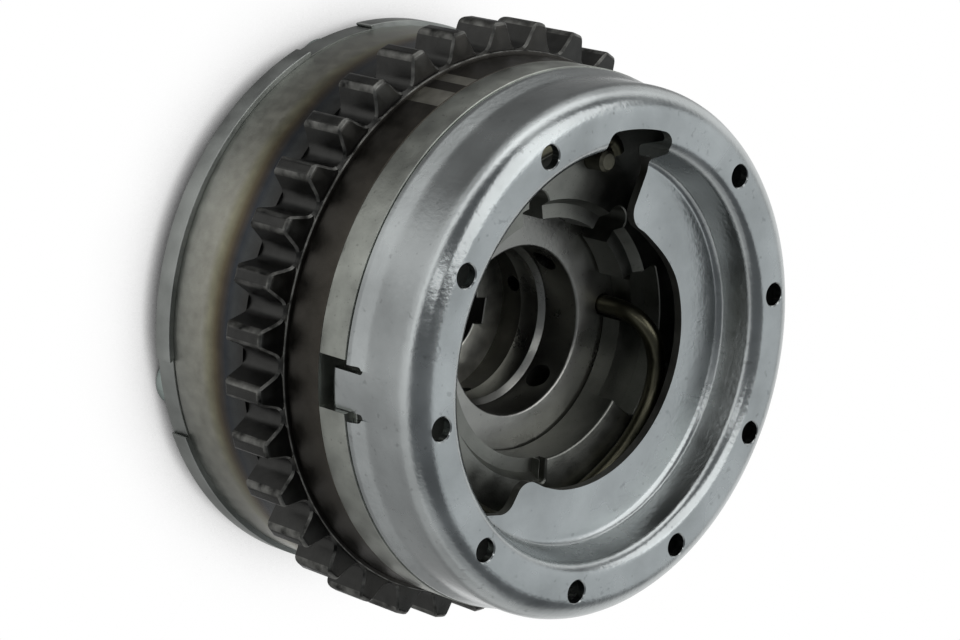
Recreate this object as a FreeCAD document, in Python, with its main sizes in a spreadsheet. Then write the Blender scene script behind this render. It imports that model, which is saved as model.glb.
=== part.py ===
"""Camshaft pulley: a chain sprocket with a vane-type timing adjuster inside it.

The part stands on the heads of its cover screws. Its axis is +Z, z = 0 is the plane of
the screw heads, and the front, with the pressed pulse wheel, is on top.
Lengths are millimetres and angles are degrees, turned from +X towards +Y.
"""
import FreeCAD, Part
import math
import os
from FreeCAD import Placement, Rotation, Vector

doc = FreeCAD.newDocument("CamshaftPulley")
sheet = doc.addObject("Spreadsheet::Sheet", "Sizes")

# Driving dimensions: name, value and meaning
DIMENSIONS = [
    # Levels along the axis, from the plane that the part stands on
    ("head_height", 4.0, "screw heads, below the rear cover"),
    ("rear_cover_thickness", 4.0, "rear cover plate"),
    ("tooth_rear_level", 26.5, "rear face of the teeth"),
    ("tooth_width", 9.0, "teeth, along the axis"),
    ("housing_front_level", 44.0, "front face of the sprocket housing"),
    ("rim_thickness", 6.2, "rim of the front cover"),
    ("spigot_depth", 2.0, "spigots of both covers, inside the housing"),
    ("channel_level", 46.5, "floor of the pocket round the inner leg"),
    ("collar_level", 48.35, "ledge round the front cover's bore"),
    ("wheel_front_level", 65.8, "front face of the pulse wheel"),
    ("dish_depth", 7.6, "pulse wheel, flange to dish floor"),
    # Sprocket housing
    ("tooth_count", 34, "teeth of the sprocket"),
    ("tooth_turn", 8.1, "angle of one tooth"),
    ("tooth_height", 4.3, "teeth above the housing behind them"),
    ("root_depth", 4.76, "tooth gaps, below the tips"),
    ("root_arc", 2.1, "radius of the tooth gap's bottom"),
    ("flank_angle", 26.0, "flank of a tooth to its own middle line"),
    ("tip_chamfer", 0.8, "edges of the teeth"),
    ("band_step", 1.4, "housing in front of the teeth, below the part behind them"),
    ("chamber_depth", 11.5, "oil chambers, outwards from the hub"),
    ("chamber_corner", 1.0, "fillet in the corners of the chambers"),
    ("spigot_play", 0.05, "spigots of both covers in the chambers, radial"),
    # Screws and dowels
    ("screw_inset", 4.9, "screws, outwards from the chambers"),
    ("screw_edge", 5.5, "screws, inwards from the housing's outside"),
    ("screw_turn", 6.5, "angle of the first screw"),
    ("screw_count", 4, "cover screws"),
    ("screw_shank", 5.0, "screw diameter"),
    ("screw_head", 9.0, "head diameter"),
    ("screw_socket", 4.0, "hexagon socket, across flats"),
    ("socket_depth", 2.2, "hexagon socket"),
    ("screw_grip", 4.8, "screw in the front cover"),
    ("screw_clearance", 0.15, "screw in its holes, radial"),
    ("dowel_turn", 51.5, "angle of the first locating dowel"),
    ("dowel_diameter", 4.0, "locating dowels"),
    ("dowel_length", 8.0, "locating dowels"),
    ("dowel_sink", 2.5, "locating dowels in the rear cover"),
    ("pin_play", 0.02, "pressed pins in their holes, radial"),
    # Rear cover
    ("cover_overhang", 0.9, "rear cover beyond the housing"),
    ("relief_depth", 0.7, "scallops in the rear cover's edge"),
    ("relief_half", 9.5, "half angle of a scallop"),
    ("rear_bore", 23.0, "radius of the rear cover's bore"),
    ("bush_radius", 4.5, "lock bush, outside"),
    ("bush_bore", 3.2, "lock bush, inside"),
    ("bush_height", 3.0, "lock bush"),
    # Front cover
    ("collar_bore", 21.15, "front cover's bore"),
    ("collar_flat", 23.6, "outer radius of the ledge"),
    ("collar_radius", 24.7, "outer radius of the bevel above the ledge"),
    ("channel_start", 14.0, "angle where the pocket ends and the ledge starts"),
    ("gap_sweep", 61.0, "angle of the pocket"),
    ("ledge_sweep", 244.0, "angle of the ledge"),
    ("pocket_reach", 27.5, "outer radius of the pocket"),
    ("leg_slot_reach", 24.0, "outer radius of the slot for the inner leg"),
    ("leg_slot_sweep", 22.8, "angle of the slot for the inner leg"),
    ("register_height", 0.9, "step that centres the pulse wheel"),
    ("register_width", 3.0, "step that centres the pulse wheel"),
    ("slot_width", 4.6, "tool slots beside the bore"),
    ("slot_reach", 27.0, "outer end of the tool slots"),
    ("slot_turn", 43.75, "angle of the first tool slot"),
    ("slot_spacing", 47.75, "angle between the tool slots"),
    ("split_width", 1.4, "narrow slot at the end of the ledge"),
    ("split_turn", -99.3, "angle of the narrow slot"),
    # Pulse wheel
    ("flare_width", 1.0, "flare at the rear end of the skirt"),
    ("wheel_sheet", 1.6, "sheet thickness"),
    ("wheel_corner", 4.5, "outer corner of the skirt"),
    ("wheel_play", 0.05, "pulse wheel on its register, radial"),
    ("flare_inset", 0.2, "skirt's rear end, inwards from the front cover's outside"),
    ("flare_rise", 3.4, "height of the skirt's flare"),
    ("flange_width", 10.2, "flange, from the skirt to the opening"),
    ("dish_draft", 1.9, "dish wall, how far it leans in"),
    ("dish_bend", 2.4, "outer bend radius of the dish"),
    ("floor_edge", 24.5, "inner edge of the dish floor"),
    ("floor_arc_start", -113.0, "angle where the floor's inner arc starts"),
    ("floor_arc_end", 14.0, "angle where the floor's inner arc ends"),
    ("lobe_edge", 23.4, "inner edge of the dish floor at its front lobe"),
    ("lobe_turn", 36.0, "angle where the front lobe starts"),
    ("floor_start", -130.3, "angle of the dish floor's rear end"),
    ("floor_end", 57.0, "angle of the dish floor's front end"),
    ("end_inset_rear", 5.1, "rear end of the floor, foot of its wall inside the opening"),
    ("end_inset_front", 2.3, "front end of the floor, foot of its wall inside the opening"),
    ("end_lean_rear", 14.7, "angle between the rear end and the open side"),
    ("end_lean_front", 7.3, "angle between the front end and the open side"),
    ("end_bend_radius", 3.0, "rounding at the foot of each end's wall"),
    ("lobe_corner", 3.2, "rounded corners of the dish floor"),
    ("window_inset", 7.2, "window beside the opening, inwards from the skirt"),
    ("window_turn", 76.4, "middle of the window"),
    ("window_half", 11.9, "half angle of the window"),
    ("window_corner", 2.4, "corners of the window"),
    ("hole_inset", 5.8, "small holes, inwards from the skirt"),
    ("hole_diameter", 4.1, "small holes"),
    ("hole_places", 10, "places on the circle, one of them left blank"),
    ("hole_turn", 108.0, "angle of the first small hole"),
    ("tab_turn", 174.2, "middle of the locating tab"),
    ("tab_half", 4.15, "half angle of the tab"),
    ("tab_length", 4.4, "tab, below the skirt"),
    ("tab_relief", 1.4, "width of the cuts beside the tab"),
    ("relief_height", 3.0, "height of the cuts beside the tab"),
    ("tab_root", 2.0, "the tab's root, above the skirt's flare"),
    ("tab_step", 0.05, "the tab's faces, inside those of the skirt"),
    ("notch_turn", 173.0, "middle of the notch for the tab"),
    ("notch_half", 5.5, "half angle of the notch"),
    # Rotor
    ("hub_radius", 27.0, "rotor between its vanes"),
    ("journal_radius", 22.94, "rotor in the rear cover"),
    ("journal_level", 4.5, "rear face of the rotor"),
    ("vane_play", 0.05, "rotor between the covers, on each side"),
    ("hub_play", 0.06, "hub in the housing, radial"),
    ("tip_play", 0.3, "vane tips in the chambers, radial"),
    ("vane_turn", 18.8, "middle of the first vane"),
    ("vane_half", 12.0, "half angle of a vane"),
    ("vane_corner", 1.2, "rounded tip corners of a vane"),
    ("vane_count", 4, "vanes and chambers"),
    ("travel", 12.0, "angle that the rotor turns"),
    ("stop_gap", 0.2, "angle left at each stop"),
    ("valve_bore", 14.9, "front bore"),
    ("valve_bore_level", 34.1, "foot of the front bore"),
    ("seat_bore", 13.9, "narrow land in the bore"),
    ("seat_bevel", 0.9, "bevel down to the land, along the axis"),
    ("groove_level", 28.8, "upper edge of the oil groove"),
    ("groove_radius", 15.3, "oil groove"),
    ("wall_level", 22.8, "wall across the bore"),
    ("bolt_bore", 8.8, "bolt hole in that wall"),
    ("cam_bore", 15.0, "camshaft seat"),
    ("cam_depth", 12.0, "camshaft seat"),
    ("edge_bevel", 0.5, "bevels of the rotor's edges"),
    ("port_diameter", 4.8, "oil holes in the front bore"),
    ("port_level", 37.4, "oil holes in the front bore"),
    ("port_turn", 17.2, "oil holes in the front bore, ahead of the middle of a vane"),
    ("return_turn", 14.0, "oil holes in the groove, behind the middle of a vane"),
    ("return_diameter", 3.0, "oil holes in the groove"),
    ("feed_turn", -17.0, "notch in the bolt hole"),
    ("feed_width", 4.6, "notch in the bolt hole"),
    ("feed_reach", 10.8, "notch in the bolt hole, from the axis"),
    ("cam_dowel_diameter", 4.0, "hole for the dowel that times the camshaft"),
    ("cam_dowel_circle", 12.2, "that hole, from the axis"),
    ("cam_dowel_turn", 142.0, "that hole"),
    ("cam_dowel_sink", 4.0, "depth of that hole"),
    # Vane seals
    ("seal_slot", 2.4, "width of the seal slots"),
    ("seal_slot_depth", 2.8, "depth of the seal slots"),
    ("seal_height", 2.0, "seal, radial"),
    ("seal_side_play", 0.05, "seal in its slot, on each side"),
    ("seal_tip_play", 0.08, "seal in the chamber, radial"),
    ("leaf_thickness", 0.25, "leaf springs under the seals"),
    ("leaf_length", 26.0, "leaf springs under the seals"),
    ("leaf_rise", 0.45, "bow of the leaf springs"),
    # Lock pin
    ("lock_vane", 2, "which vane holds the lock pin, from the first"),
    ("lock_inset", 7.3, "lock pin, inwards from the chambers' wall"),
    ("lock_radius", 2.8, "lock pin"),
    ("lock_play", 0.05, "lock pin in its bore, radial"),
    ("lock_length", 18.0, "lock pin"),
    ("lock_cup_radius", 1.9, "hollow of the lock pin"),
    ("lock_cup_depth", 10.0, "hollow of the lock pin"),
    ("lock_lift", 0.25, "released lock pin, above the rotor's rear face"),
    ("cap_radius", 3.6, "cap over the lock pin's bore"),
    ("cap_height", 2.0, "cap over the lock pin's bore"),
    ("cap_vent", 0.8, "radius of the cap's vent"),
    ("lock_wire", 0.6, "wire of the lock pin's spring"),
    ("lock_coils", 8, "turns of the lock pin's spring"),
    # Return spring and its stud
    ("wire_diameter", 3.4, "return spring wire"),
    ("wire_play", 0.15, "wire above the front cover"),
    ("leg_circle", 21.5, "inner leg, from the axis"),
    ("leg_turn", -3.0, "inner leg"),
    ("leg_level", 37.0, "lower end of the inner leg"),
    ("bend_level", 45.0, "inner leg, foot of its bend"),
    ("coil_turn", -18.0, "angle where the bend runs into the coil"),
    ("leg_hole", 3.6, "hole for the inner leg"),
    ("leg_hole_level", 36.5, "floor of that hole"),
    ("coil_start", 24.9, "foot of the coil, from the axis"),
    ("coil_lead", 28.4, "first stretch of the coil, from the axis"),
    ("lead_turn", 11.0, "angle over which the coil widens to that"),
    ("coil_radius", 32.5, "wide stretch of the coil, from the axis"),
    ("stud_circle", 32.1, "stud, from the axis"),
    ("stud_turn", 67.0, "stud"),
    ("stud_diameter", 3.8, "stud"),
    ("stud_top", 54.2, "top of the stud"),
    ("stud_foot", 44.8, "foot of the stud"),
    ("hook_play", 0.1, "wire round the stud"),
]

for row, (name, value, meaning) in enumerate(DIMENSIONS, start=1):
    sheet.set(f"A{row}", name)
    sheet.set(f"B{row}", str(value))
    sheet.set(f"C{row}", meaning)
    sheet.setAlias(f"B{row}", name)
doc.recompute()


class Size:
    """A number together with the formula that gives it from the sheet."""

    def __init__(self, number, text):
        self.number = float(number)
        self.text = text

    @staticmethod
    def of(other):
        return other if isinstance(other, Size) else Size(other, repr(float(other)))

    def __add__(self, other):
        other = Size.of(other)
        return Size(self.number + other.number, f"({self.text} + {other.text})")

    def __sub__(self, other):
        other = Size.of(other)
        return Size(self.number - other.number, f"({self.text} - {other.text})")

    def __mul__(self, other):
        other = Size.of(other)
        return Size(self.number * other.number, f"({self.text} * {other.text})")

    def __truediv__(self, other):
        other = Size.of(other)
        return Size(self.number / other.number, f"({self.text} / {other.text})")

    def __neg__(self):
        return Size(-self.number, f"(-1 * {self.text})")


class Sheet:
    """Gives each driving dimension of the sheet by its name."""

    def __getattr__(self, name):
        return Size(sheet.get(name), f"Sizes.{name}")


s = Sheet()
ZERO = Size(0, "0")
FULL_TURN = math.degrees(math.tau)


def cos(angle):
    return Size(math.cos(math.radians(angle.number)), f"cos({angle.text} * 1 deg)")


def sin(angle):
    return Size(math.sin(math.radians(angle.number)), f"sin({angle.text} * 1 deg)")


# Levels and radii that follow from the driving dimensions
cover_rear = s.head_height
cover_front = s.head_height + s.rear_cover_thickness
chamber_rear = cover_front + s.spigot_depth
tooth_front = s.tooth_rear_level + s.tooth_width
chamber_front = s.housing_front_level - s.spigot_depth
rim_front = s.housing_front_level + s.rim_thickness
register_front = rim_front + s.register_height
chamber_radius = s.hub_radius + s.chamber_depth
spigot_radius = chamber_radius - s.spigot_play
screw_circle = chamber_radius + s.screw_inset
body_radius = screw_circle + s.screw_edge
cover_radius = body_radius + s.cover_overhang
tip_radius = body_radius + s.tooth_height
root_radius = tip_radius - s.root_depth
band_radius = body_radius - s.band_step
flare_radius = band_radius - s.flare_inset
wheel_radius = flare_radius - s.flare_width
opening_radius = wheel_radius - s.flange_width
window_radius = wheel_radius - s.window_inset
hole_circle = wheel_radius - s.hole_inset
lock_circle = chamber_radius - s.lock_inset
register_radius = flare_radius - s.wheel_sheet - s.wheel_play
rotor_rear = chamber_rear + s.vane_play
rotor_front = chamber_front - s.vane_play
vane_radius = chamber_radius - s.tip_play
seal_foot = vane_radius - s.seal_slot_depth
screw_hole = s.screw_shank / 2 + s.screw_clearance
screw_end = s.housing_front_level + s.screw_grip
screw_step = Size(FULL_TURN, "360") / s.screw_count
vane_step = Size(FULL_TURN, "360") / s.vane_count
lock_turn = s.vane_turn + vane_step * s.lock_vane
lock_bore = s.lock_radius + s.lock_play
cap_foot = rotor_front - s.cap_height
wire_level = rim_front + s.wire_play + s.wire_diameter / 2

pieces = []


def bind(thing, path, size):
    """Ties a property of a document object to the sheet."""
    thing.setExpression(path, size.text)


def new_body(label):
    body = doc.addObject("PartDesign::Body", label)
    body.Label = label
    body.AllowCompound = True
    pieces.append(body)
    return body


def new_sketch(body, name, role, level=None, turn=None):
    """A sketch on one of the body's own planes, lifted to a level and turned about the axis."""
    sketch = body.newObject("Sketcher::SketchObject", name)
    plane = next(item for item in body.Origin.OriginFeatures if item.Role == role)
    sketch.AttachmentSupport = [(plane, "")]
    sketch.MapMode = "FlatFace"
    axis = Vector(0, 0, 1) if role == "XY_Plane" else Vector(0, 1, 0)
    height = level.number if level else 0.0
    angle = turn.number if turn else 0.0
    sketch.AttachmentOffset = Placement(Vector(0, 0, height), Rotation(axis, angle))
    if level:
        bind(sketch, "AttachmentOffset.Base.z", level)
    if turn:
        bind(sketch, "AttachmentOffset.Rotation.Angle", turn)
    return sketch


def tie(sketch, kind, *where, size):
    """Adds a dimension to a sketch and ties it to the sheet."""
    number = math.radians(size.number) if kind == "Angle" else size.number
    index = sketch.addConstraint(Sketcher_constraint(kind, *where, number))
    sketch.setExpression(f"Constraints[{index}]", size.text)


def Sketcher_constraint(*arguments):
    import Sketcher
    return Sketcher.Constraint(*arguments)


ORIGIN = (-1, 1)
AXES = {"X": -1, "Y": -2}


def fix_point(sketch, edge, end, x, y):
    """Places one end of an edge by its two coordinates. A zero lies on the axis itself."""
    if abs(x.number) > 0:
        tie(sketch, "DistanceX", *ORIGIN, edge, end, size=x)
    else:
        sketch.addConstraint(Sketcher_constraint("PointOnObject", edge, end, AXES["Y"]))
    if abs(y.number) > 0:
        tie(sketch, "DistanceY", *ORIGIN, edge, end, size=y)
    else:
        sketch.addConstraint(Sketcher_constraint("PointOnObject", edge, end, AXES["X"]))


def join(sketch, edge, next_edge, end=2, start=1):
    sketch.addConstraint(Sketcher_constraint("Coincident", edge, end, next_edge, start))


def draw_polygon(sketch, corners):
    """Straight edges through the corners, each tied by its two coordinates."""
    points = [Vector(x.number, y.number, 0) for x, y in corners]
    count = len(points)
    for i in range(count):
        sketch.addGeometry(Part.LineSegment(points[i], points[(i + 1) % count]), False)
    for i in range(count):
        join(sketch, i, (i + 1) % count)
    for i, (x, y) in enumerate(corners):
        fix_point(sketch, i, 1, x, y)


def draw_sector(sketch, inner, outer, half):
    """A ring sector, even about the sketch's X axis."""
    up = math.radians(half.number)
    r_in, r_out = inner.number, outer.number
    centre, normal = Vector(0, 0, 0), Vector(0, 0, 1)
    sketch.addGeometry(Part.ArcOfCircle(Part.Circle(centre, normal, r_out), -up, up), False)
    sketch.addGeometry(Part.ArcOfCircle(Part.Circle(centre, normal, r_in), -up, up), False)
    for side in (-up, up):
        foot = Vector(r_in * math.cos(side), r_in * math.sin(side), 0)
        tip = Vector(r_out * math.cos(side), r_out * math.sin(side), 0)
        sketch.addGeometry(Part.LineSegment(foot, tip), False)
    for arc in (0, 1):
        sketch.addConstraint(Sketcher_constraint("Coincident", arc, 3, *ORIGIN))
    for line, arc_end in ((2, 1), (3, 2)):
        join(sketch, 1, line, end=arc_end, start=1)
        join(sketch, 0, line, end=arc_end, start=2)
        sketch.addConstraint(Sketcher_constraint("PointOnObject", *ORIGIN, line))
    tie(sketch, "Radius", 0, size=outer)
    tie(sketch, "Radius", 1, size=inner)
    tie(sketch, "Angle", 2, size=-half)
    tie(sketch, "Angle", 3, size=half)


def draw_circle(sketch, radius, x=ZERO):
    """A circle with its centre on the sketch's X axis."""
    circle = Part.Circle(Vector(x.number, 0, 0), Vector(0, 0, 1), radius.number)
    sketch.addGeometry(circle, False)
    fix_point(sketch, 0, 3, x, ZERO)
    tie(sketch, "Radius", 0, size=radius)


def draw_slot(sketch, inner, outer, width):
    """A slot along the sketch's X axis, square at its inner end and round at its outer end."""
    half = width / 2
    bend = outer - half
    a = Vector(inner.number, -half.number, 0)
    b = Vector(bend.number, -half.number, 0)
    c = Vector(bend.number, half.number, 0)
    d = Vector(inner.number, half.number, 0)
    sketch.addGeometry(Part.LineSegment(a, b), False)
    circle = Part.Circle(Vector(bend.number, 0, 0), Vector(0, 0, 1), half.number)
    sketch.addGeometry(Part.ArcOfCircle(circle, -math.pi / 2, math.pi / 2), False)
    sketch.addGeometry(Part.LineSegment(c, d), False)
    sketch.addGeometry(Part.LineSegment(d, a), False)
    for i in range(4):
        join(sketch, i, (i + 1) % 4)
    fix_point(sketch, 0, 1, inner, -half)
    fix_point(sketch, 0, 2, bend, -half)
    fix_point(sketch, 2, 1, bend, half)
    fix_point(sketch, 2, 2, inner, half)
    tie(sketch, "DistanceX", *ORIGIN, 1, 3, size=bend)


def revolve(body, name, corners):
    """Turns a profile of (radius, level) corners a full turn about the body's axis."""
    sketch = new_sketch(body, name + "Profile", "XZ_Plane")
    draw_polygon(sketch, corners)
    feature = body.newObject("PartDesign::Revolution", name)
    feature.Profile = sketch
    feature.ReferenceAxis = (sketch, ["V_Axis"])
    feature.Angle = FULL_TURN
    body.Tip = feature
    return feature


def groove(body, name, corners, start, sweep):
    """Cuts a profile of (radius, level) corners round the axis, from one angle over another."""
    sketch = new_sketch(body, name + "Profile", "XZ_Plane", turn=start)
    draw_polygon(sketch, corners)
    feature = body.newObject("PartDesign::Groove", name)
    feature.Profile = sketch
    feature.ReferenceAxis = (sketch, ["V_Axis"])
    bind(feature, "Angle", sweep)
    body.Tip = feature
    return feature


def pocket(body, name, sketch, depth):
    feature = body.newObject("PartDesign::Pocket", name)
    feature.Profile = sketch
    bind(feature, "Length", depth)
    body.Tip = feature
    return feature


def pad(body, name, sketch, height):
    feature = body.newObject("PartDesign::Pad", name)
    feature.Profile = sketch
    bind(feature, "Length", height)
    body.Tip = feature
    return feature


def pattern(body, name, features, count, sweep=None):
    """Repeats features about the body's axis, over a full turn or a given angle."""
    feature = body.newObject("PartDesign::PolarPattern", name)
    feature.Originals = features
    axis = next(item for item in body.Origin.OriginFeatures if item.Role == "Z_Axis")
    feature.Axis = (axis, [""])
    bind(feature, "Occurrences", count)
    if sweep:
        bind(feature, "Angle", sweep)
    else:
        feature.Angle = FULL_TURN
    body.Tip = feature
    return feature


def cut_round(body, name, radius, circle, turn, top, bottom):
    """A round hole along the axis, at a distance and an angle from it."""
    sketch = new_sketch(body, name + "Circle", "XY_Plane", level=top, turn=turn)
    draw_circle(sketch, radius, circle)
    return pocket(body, name, sketch, top - bottom)


def cut_sector(body, name, inner, outer, half, turn, top, bottom):
    sketch = new_sketch(body, name + "Sector", "XY_Plane", level=top, turn=turn)
    draw_sector(sketch, inner, outer, half)
    return pocket(body, name, sketch, top - bottom)


def smooth(body, name, kind, radius, wanted):
    """Fillets or chamfers the edges of the body's last feature that wanted() picks."""
    doc.recompute()
    base = body.Tip
    names = [f"Edge{i}" for i, edge in enumerate(base.Shape.Edges, start=1) if wanted(edge)]
    feature = body.newObject(f"PartDesign::{kind}", name)
    feature.Base = (base, names)
    bind(feature, "Radius" if kind == "Fillet" else "Size", radius)
    body.Tip = feature
    return feature


def middle(edge):
    return edge.valueAt((edge.FirstParameter + edge.LastParameter) / 2)


def near(value, size, slack=0.02):
    return abs(value - size.number) < slack


def is_ring(edge, radius, level):
    """An edge that runs round the axis at this radius and level."""
    point = middle(edge)
    round_axis = abs(edge.valueAt(edge.FirstParameter).z - point.z) < 1e-6
    return round_axis and near(math.hypot(point.x, point.y), radius) and near(point.z, level)


def is_upright(edge):
    """A straight edge along the axis."""
    start, end = edge.Vertexes[0].Point, edge.Vertexes[-1].Point
    return math.hypot(start.x - end.x, start.y - end.y) < 1e-6 and abs(start.z - end.z) > 1e-3


def put(thing, circle, turn, level=ZERO):
    """Places a piece at a distance and an angle from the axis, turned to face outwards."""
    x, y = circle * cos(turn), circle * sin(turn)
    place = Vector(x.number, y.number, level.number)
    thing.Placement = Placement(place, Rotation(Vector(0, 0, 1), turn.number))
    bind(thing, "Placement.Base.x", x)
    bind(thing, "Placement.Base.y", y)
    bind(thing, "Placement.Base.z", level)
    bind(thing, "Placement.Rotation.Angle", turn)


# Sprocket housing: one ring with the teeth outside and the oil chambers inside

def draw_tooth_gap(sketch):
    """The space between two teeth: a round bottom that opens into two straight flanks."""
    flank = math.radians(s.flank_angle.number)
    bend = s.root_arc.number
    centre = Vector(root_radius.number + bend, 0, 0)
    reach = tip_radius + 1
    outward = Vector(math.cos(flank), math.sin(flank), 0)
    start = centre + Vector(-math.sin(flank), math.cos(flank), 0) * bend
    tip = start + outward * ((reach.number - start.x) / outward.x)
    low_start, low_tip = Vector(start.x, -start.y, 0), Vector(tip.x, -tip.y, 0)
    circle = Part.Circle(centre, Vector(0, 0, 1), bend)
    first, last = math.pi / 2 + flank, 3 * math.pi / 2 - flank
    sketch.addGeometry(Part.ArcOfCircle(circle, first, last), False)
    sketch.addGeometry(Part.LineSegment(start, tip), False)
    sketch.addGeometry(Part.LineSegment(tip, low_tip), False)
    sketch.addGeometry(Part.LineSegment(low_tip, low_start), False)
    fix_point(sketch, 0, 3, root_radius + s.root_arc, ZERO)
    tie(sketch, "Radius", 0, size=s.root_arc)
    sketch.addConstraint(Sketcher_constraint("Tangent", 0, 1, 1, 1))
    join(sketch, 1, 2)
    join(sketch, 2, 3)
    sketch.addConstraint(Sketcher_constraint("Tangent", 3, 2, 0, 2))
    tie(sketch, "Angle", 1, size=s.flank_angle)
    sketch.addConstraint(Sketcher_constraint("Symmetric", 1, 2, 2, 2, AXES["X"]))
    tie(sketch, "DistanceX", *ORIGIN, 1, 2, size=reach)


def make_sprocket_housing():
    body = new_body("sprocket_housing")
    bore = s.hub_radius + s.hub_play
    edge = tip_radius - s.tip_chamfer
    revolve(body, "HousingRing", [
        (bore, chamber_rear), (chamber_radius, chamber_rear),
        (chamber_radius, cover_front), (body_radius, cover_front),
        (body_radius, s.tooth_rear_level), (edge, s.tooth_rear_level),
        (tip_radius, s.tooth_rear_level + s.tip_chamfer),
        (tip_radius, tooth_front - s.tip_chamfer), (edge, tooth_front),
        (band_radius, tooth_front), (band_radius, s.housing_front_level),
        (chamber_radius, s.housing_front_level), (chamber_radius, chamber_front),
        (bore, chamber_front)])
    half = s.vane_half + s.travel / 2 + s.stop_gap
    chamber = cut_sector(
        body, "Chamber", s.hub_radius - 2, chamber_radius, half,
        s.vane_turn + s.travel / 2, chamber_front, chamber_rear)
    pattern(body, "Chambers", [chamber], s.vane_count)
    smooth(body, "ChamberCorners", "Fillet", s.chamber_corner, lambda edge: (
        is_upright(edge) and near(math.hypot(middle(edge).x, middle(edge).y), chamber_radius)))
    hole = cut_round(body, "ScrewHole", screw_hole, screw_circle, s.screw_turn,
                     s.housing_front_level, cover_front)
    pattern(body, "ScrewHoles", [hole], s.screw_count)
    dowel = cut_round(body, "DowelHole", s.dowel_diameter / 2 + s.pin_play, screw_circle,
                      s.dowel_turn, cover_front + s.dowel_length - s.dowel_sink, cover_front)
    pattern(body, "DowelHoles", [dowel], Size(2, "2"))
    gap = new_sketch(body, "ToothGap", "XY_Plane", level=tooth_front,
                     turn=s.tooth_turn + Size(FULL_TURN / 2, "180") / s.tooth_count)
    draw_tooth_gap(gap)
    cut = pocket(body, "ToothCut", gap, s.tooth_width)
    pattern(body, "Teeth", [cut], s.tooth_count)


# Rear cover: a plate with four scallops, the lock bush's seat and the rotor's rear bearing

def make_rear_cover():
    body = new_body("rear_cover")
    bevel = s.edge_bevel
    revolve(body, "CoverPlate", [
        (s.rear_bore, cover_rear), (cover_radius - bevel, cover_rear),
        (cover_radius, cover_rear + bevel), (cover_radius, cover_front),
        (spigot_radius, cover_front), (spigot_radius, chamber_rear),
        (s.rear_bore, chamber_rear)])
    scallop = cut_sector(
        body, "Scallop", cover_radius - s.relief_depth, cover_radius + 2, s.relief_half,
        s.screw_turn, cover_front, cover_rear)
    pattern(body, "Scallops", [scallop], s.screw_count)
    hole = cut_round(body, "ScrewHole", screw_hole, screw_circle, s.screw_turn,
                     cover_front, cover_rear)
    pattern(body, "ScrewHoles", [hole], s.screw_count)
    dowel = cut_round(body, "DowelHole", s.dowel_diameter / 2 + s.pin_play, screw_circle,
                      s.dowel_turn, cover_front, cover_front - s.dowel_sink)
    pattern(body, "DowelHoles", [dowel], Size(2, "2"))
    cut_round(body, "BushSeat", s.bush_radius + s.pin_play, lock_circle, lock_turn,
              chamber_rear, chamber_rear - s.bush_height)


# Front cover: a plate with a spigot, and round its bore a ledge, slots and a pocket

def make_front_cover():
    body = new_body("front_cover")
    bevel = s.edge_bevel
    register_inner = register_radius - s.register_width
    revolve(body, "CoverBlank", [
        (s.collar_bore, chamber_front + bevel), (s.collar_bore + bevel, chamber_front),
        (spigot_radius, chamber_front),
        (spigot_radius, s.housing_front_level),
        (band_radius, s.housing_front_level), (band_radius, rim_front),
        (register_radius, rim_front),
        (register_radius, register_front), (register_inner, register_front),
        (register_inner, rim_front), (s.collar_bore + bevel, rim_front),
        (s.collar_bore, rim_front - bevel)])
    rise = (rim_front - s.collar_level) / (s.collar_radius - s.collar_flat)
    groove(body, "Ledge", [
        (s.collar_bore - 1, s.collar_level), (s.collar_flat, s.collar_level),
        (s.collar_radius + 1, rim_front + rise), (s.collar_bore - 1, rim_front + rise)],
        s.channel_start, s.ledge_sweep)
    cut_sector(body, "Pocket", s.collar_bore - 2, s.pocket_reach, s.gap_sweep / 2,
               s.channel_start - s.gap_sweep / 2, rim_front, s.channel_level)
    cut_sector(body, "LegSlot", s.collar_bore - 2, s.leg_slot_reach, s.leg_slot_sweep / 2,
               s.channel_start - s.leg_slot_sweep / 2, rim_front, chamber_front)
    smooth(body, "PocketCorners", "Fillet", s.chamber_corner, lambda edge: (
        is_upright(edge) and (
            near(math.hypot(middle(edge).x, middle(edge).y), s.pocket_reach)
            or near(math.hypot(middle(edge).x, middle(edge).y), s.leg_slot_reach))))
    for index in range(2):
        turn = s.slot_turn + s.slot_spacing * index
        slot = new_sketch(body, f"ToolSlot{index + 1}Outline", "XY_Plane",
                          level=rim_front, turn=turn)
        draw_slot(slot, s.collar_bore - 2, s.slot_reach, s.slot_width)
        pocket(body, f"ToolSlot{index + 1}", slot, rim_front - chamber_front)
    split = new_sketch(body, "SplitOutline", "XY_Plane", level=rim_front, turn=s.split_turn)
    draw_slot(split, s.collar_bore - 2, s.collar_radius + s.split_width / 2, s.split_width)
    pocket(body, "Split", split, rim_front - s.collar_level)
    hole = cut_round(body, "ScrewThread", s.screw_shank / 2 + s.pin_play, screw_circle,
                     s.screw_turn, screw_end, s.housing_front_level)
    pattern(body, "ScrewThreads", [hole], s.screw_count)
    cut_round(body, "StudHole", s.stud_diameter / 2 + s.pin_play, s.stud_circle, s.stud_turn,
              rim_front, s.stud_foot)
    cut_sector(body, "TabNotch", register_radius - s.register_width, band_radius + 2,
               s.notch_half, s.notch_turn, register_front, s.housing_front_level)


# Pulse wheel: one pressing, a cup with a dished floor on one side of its opening

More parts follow.
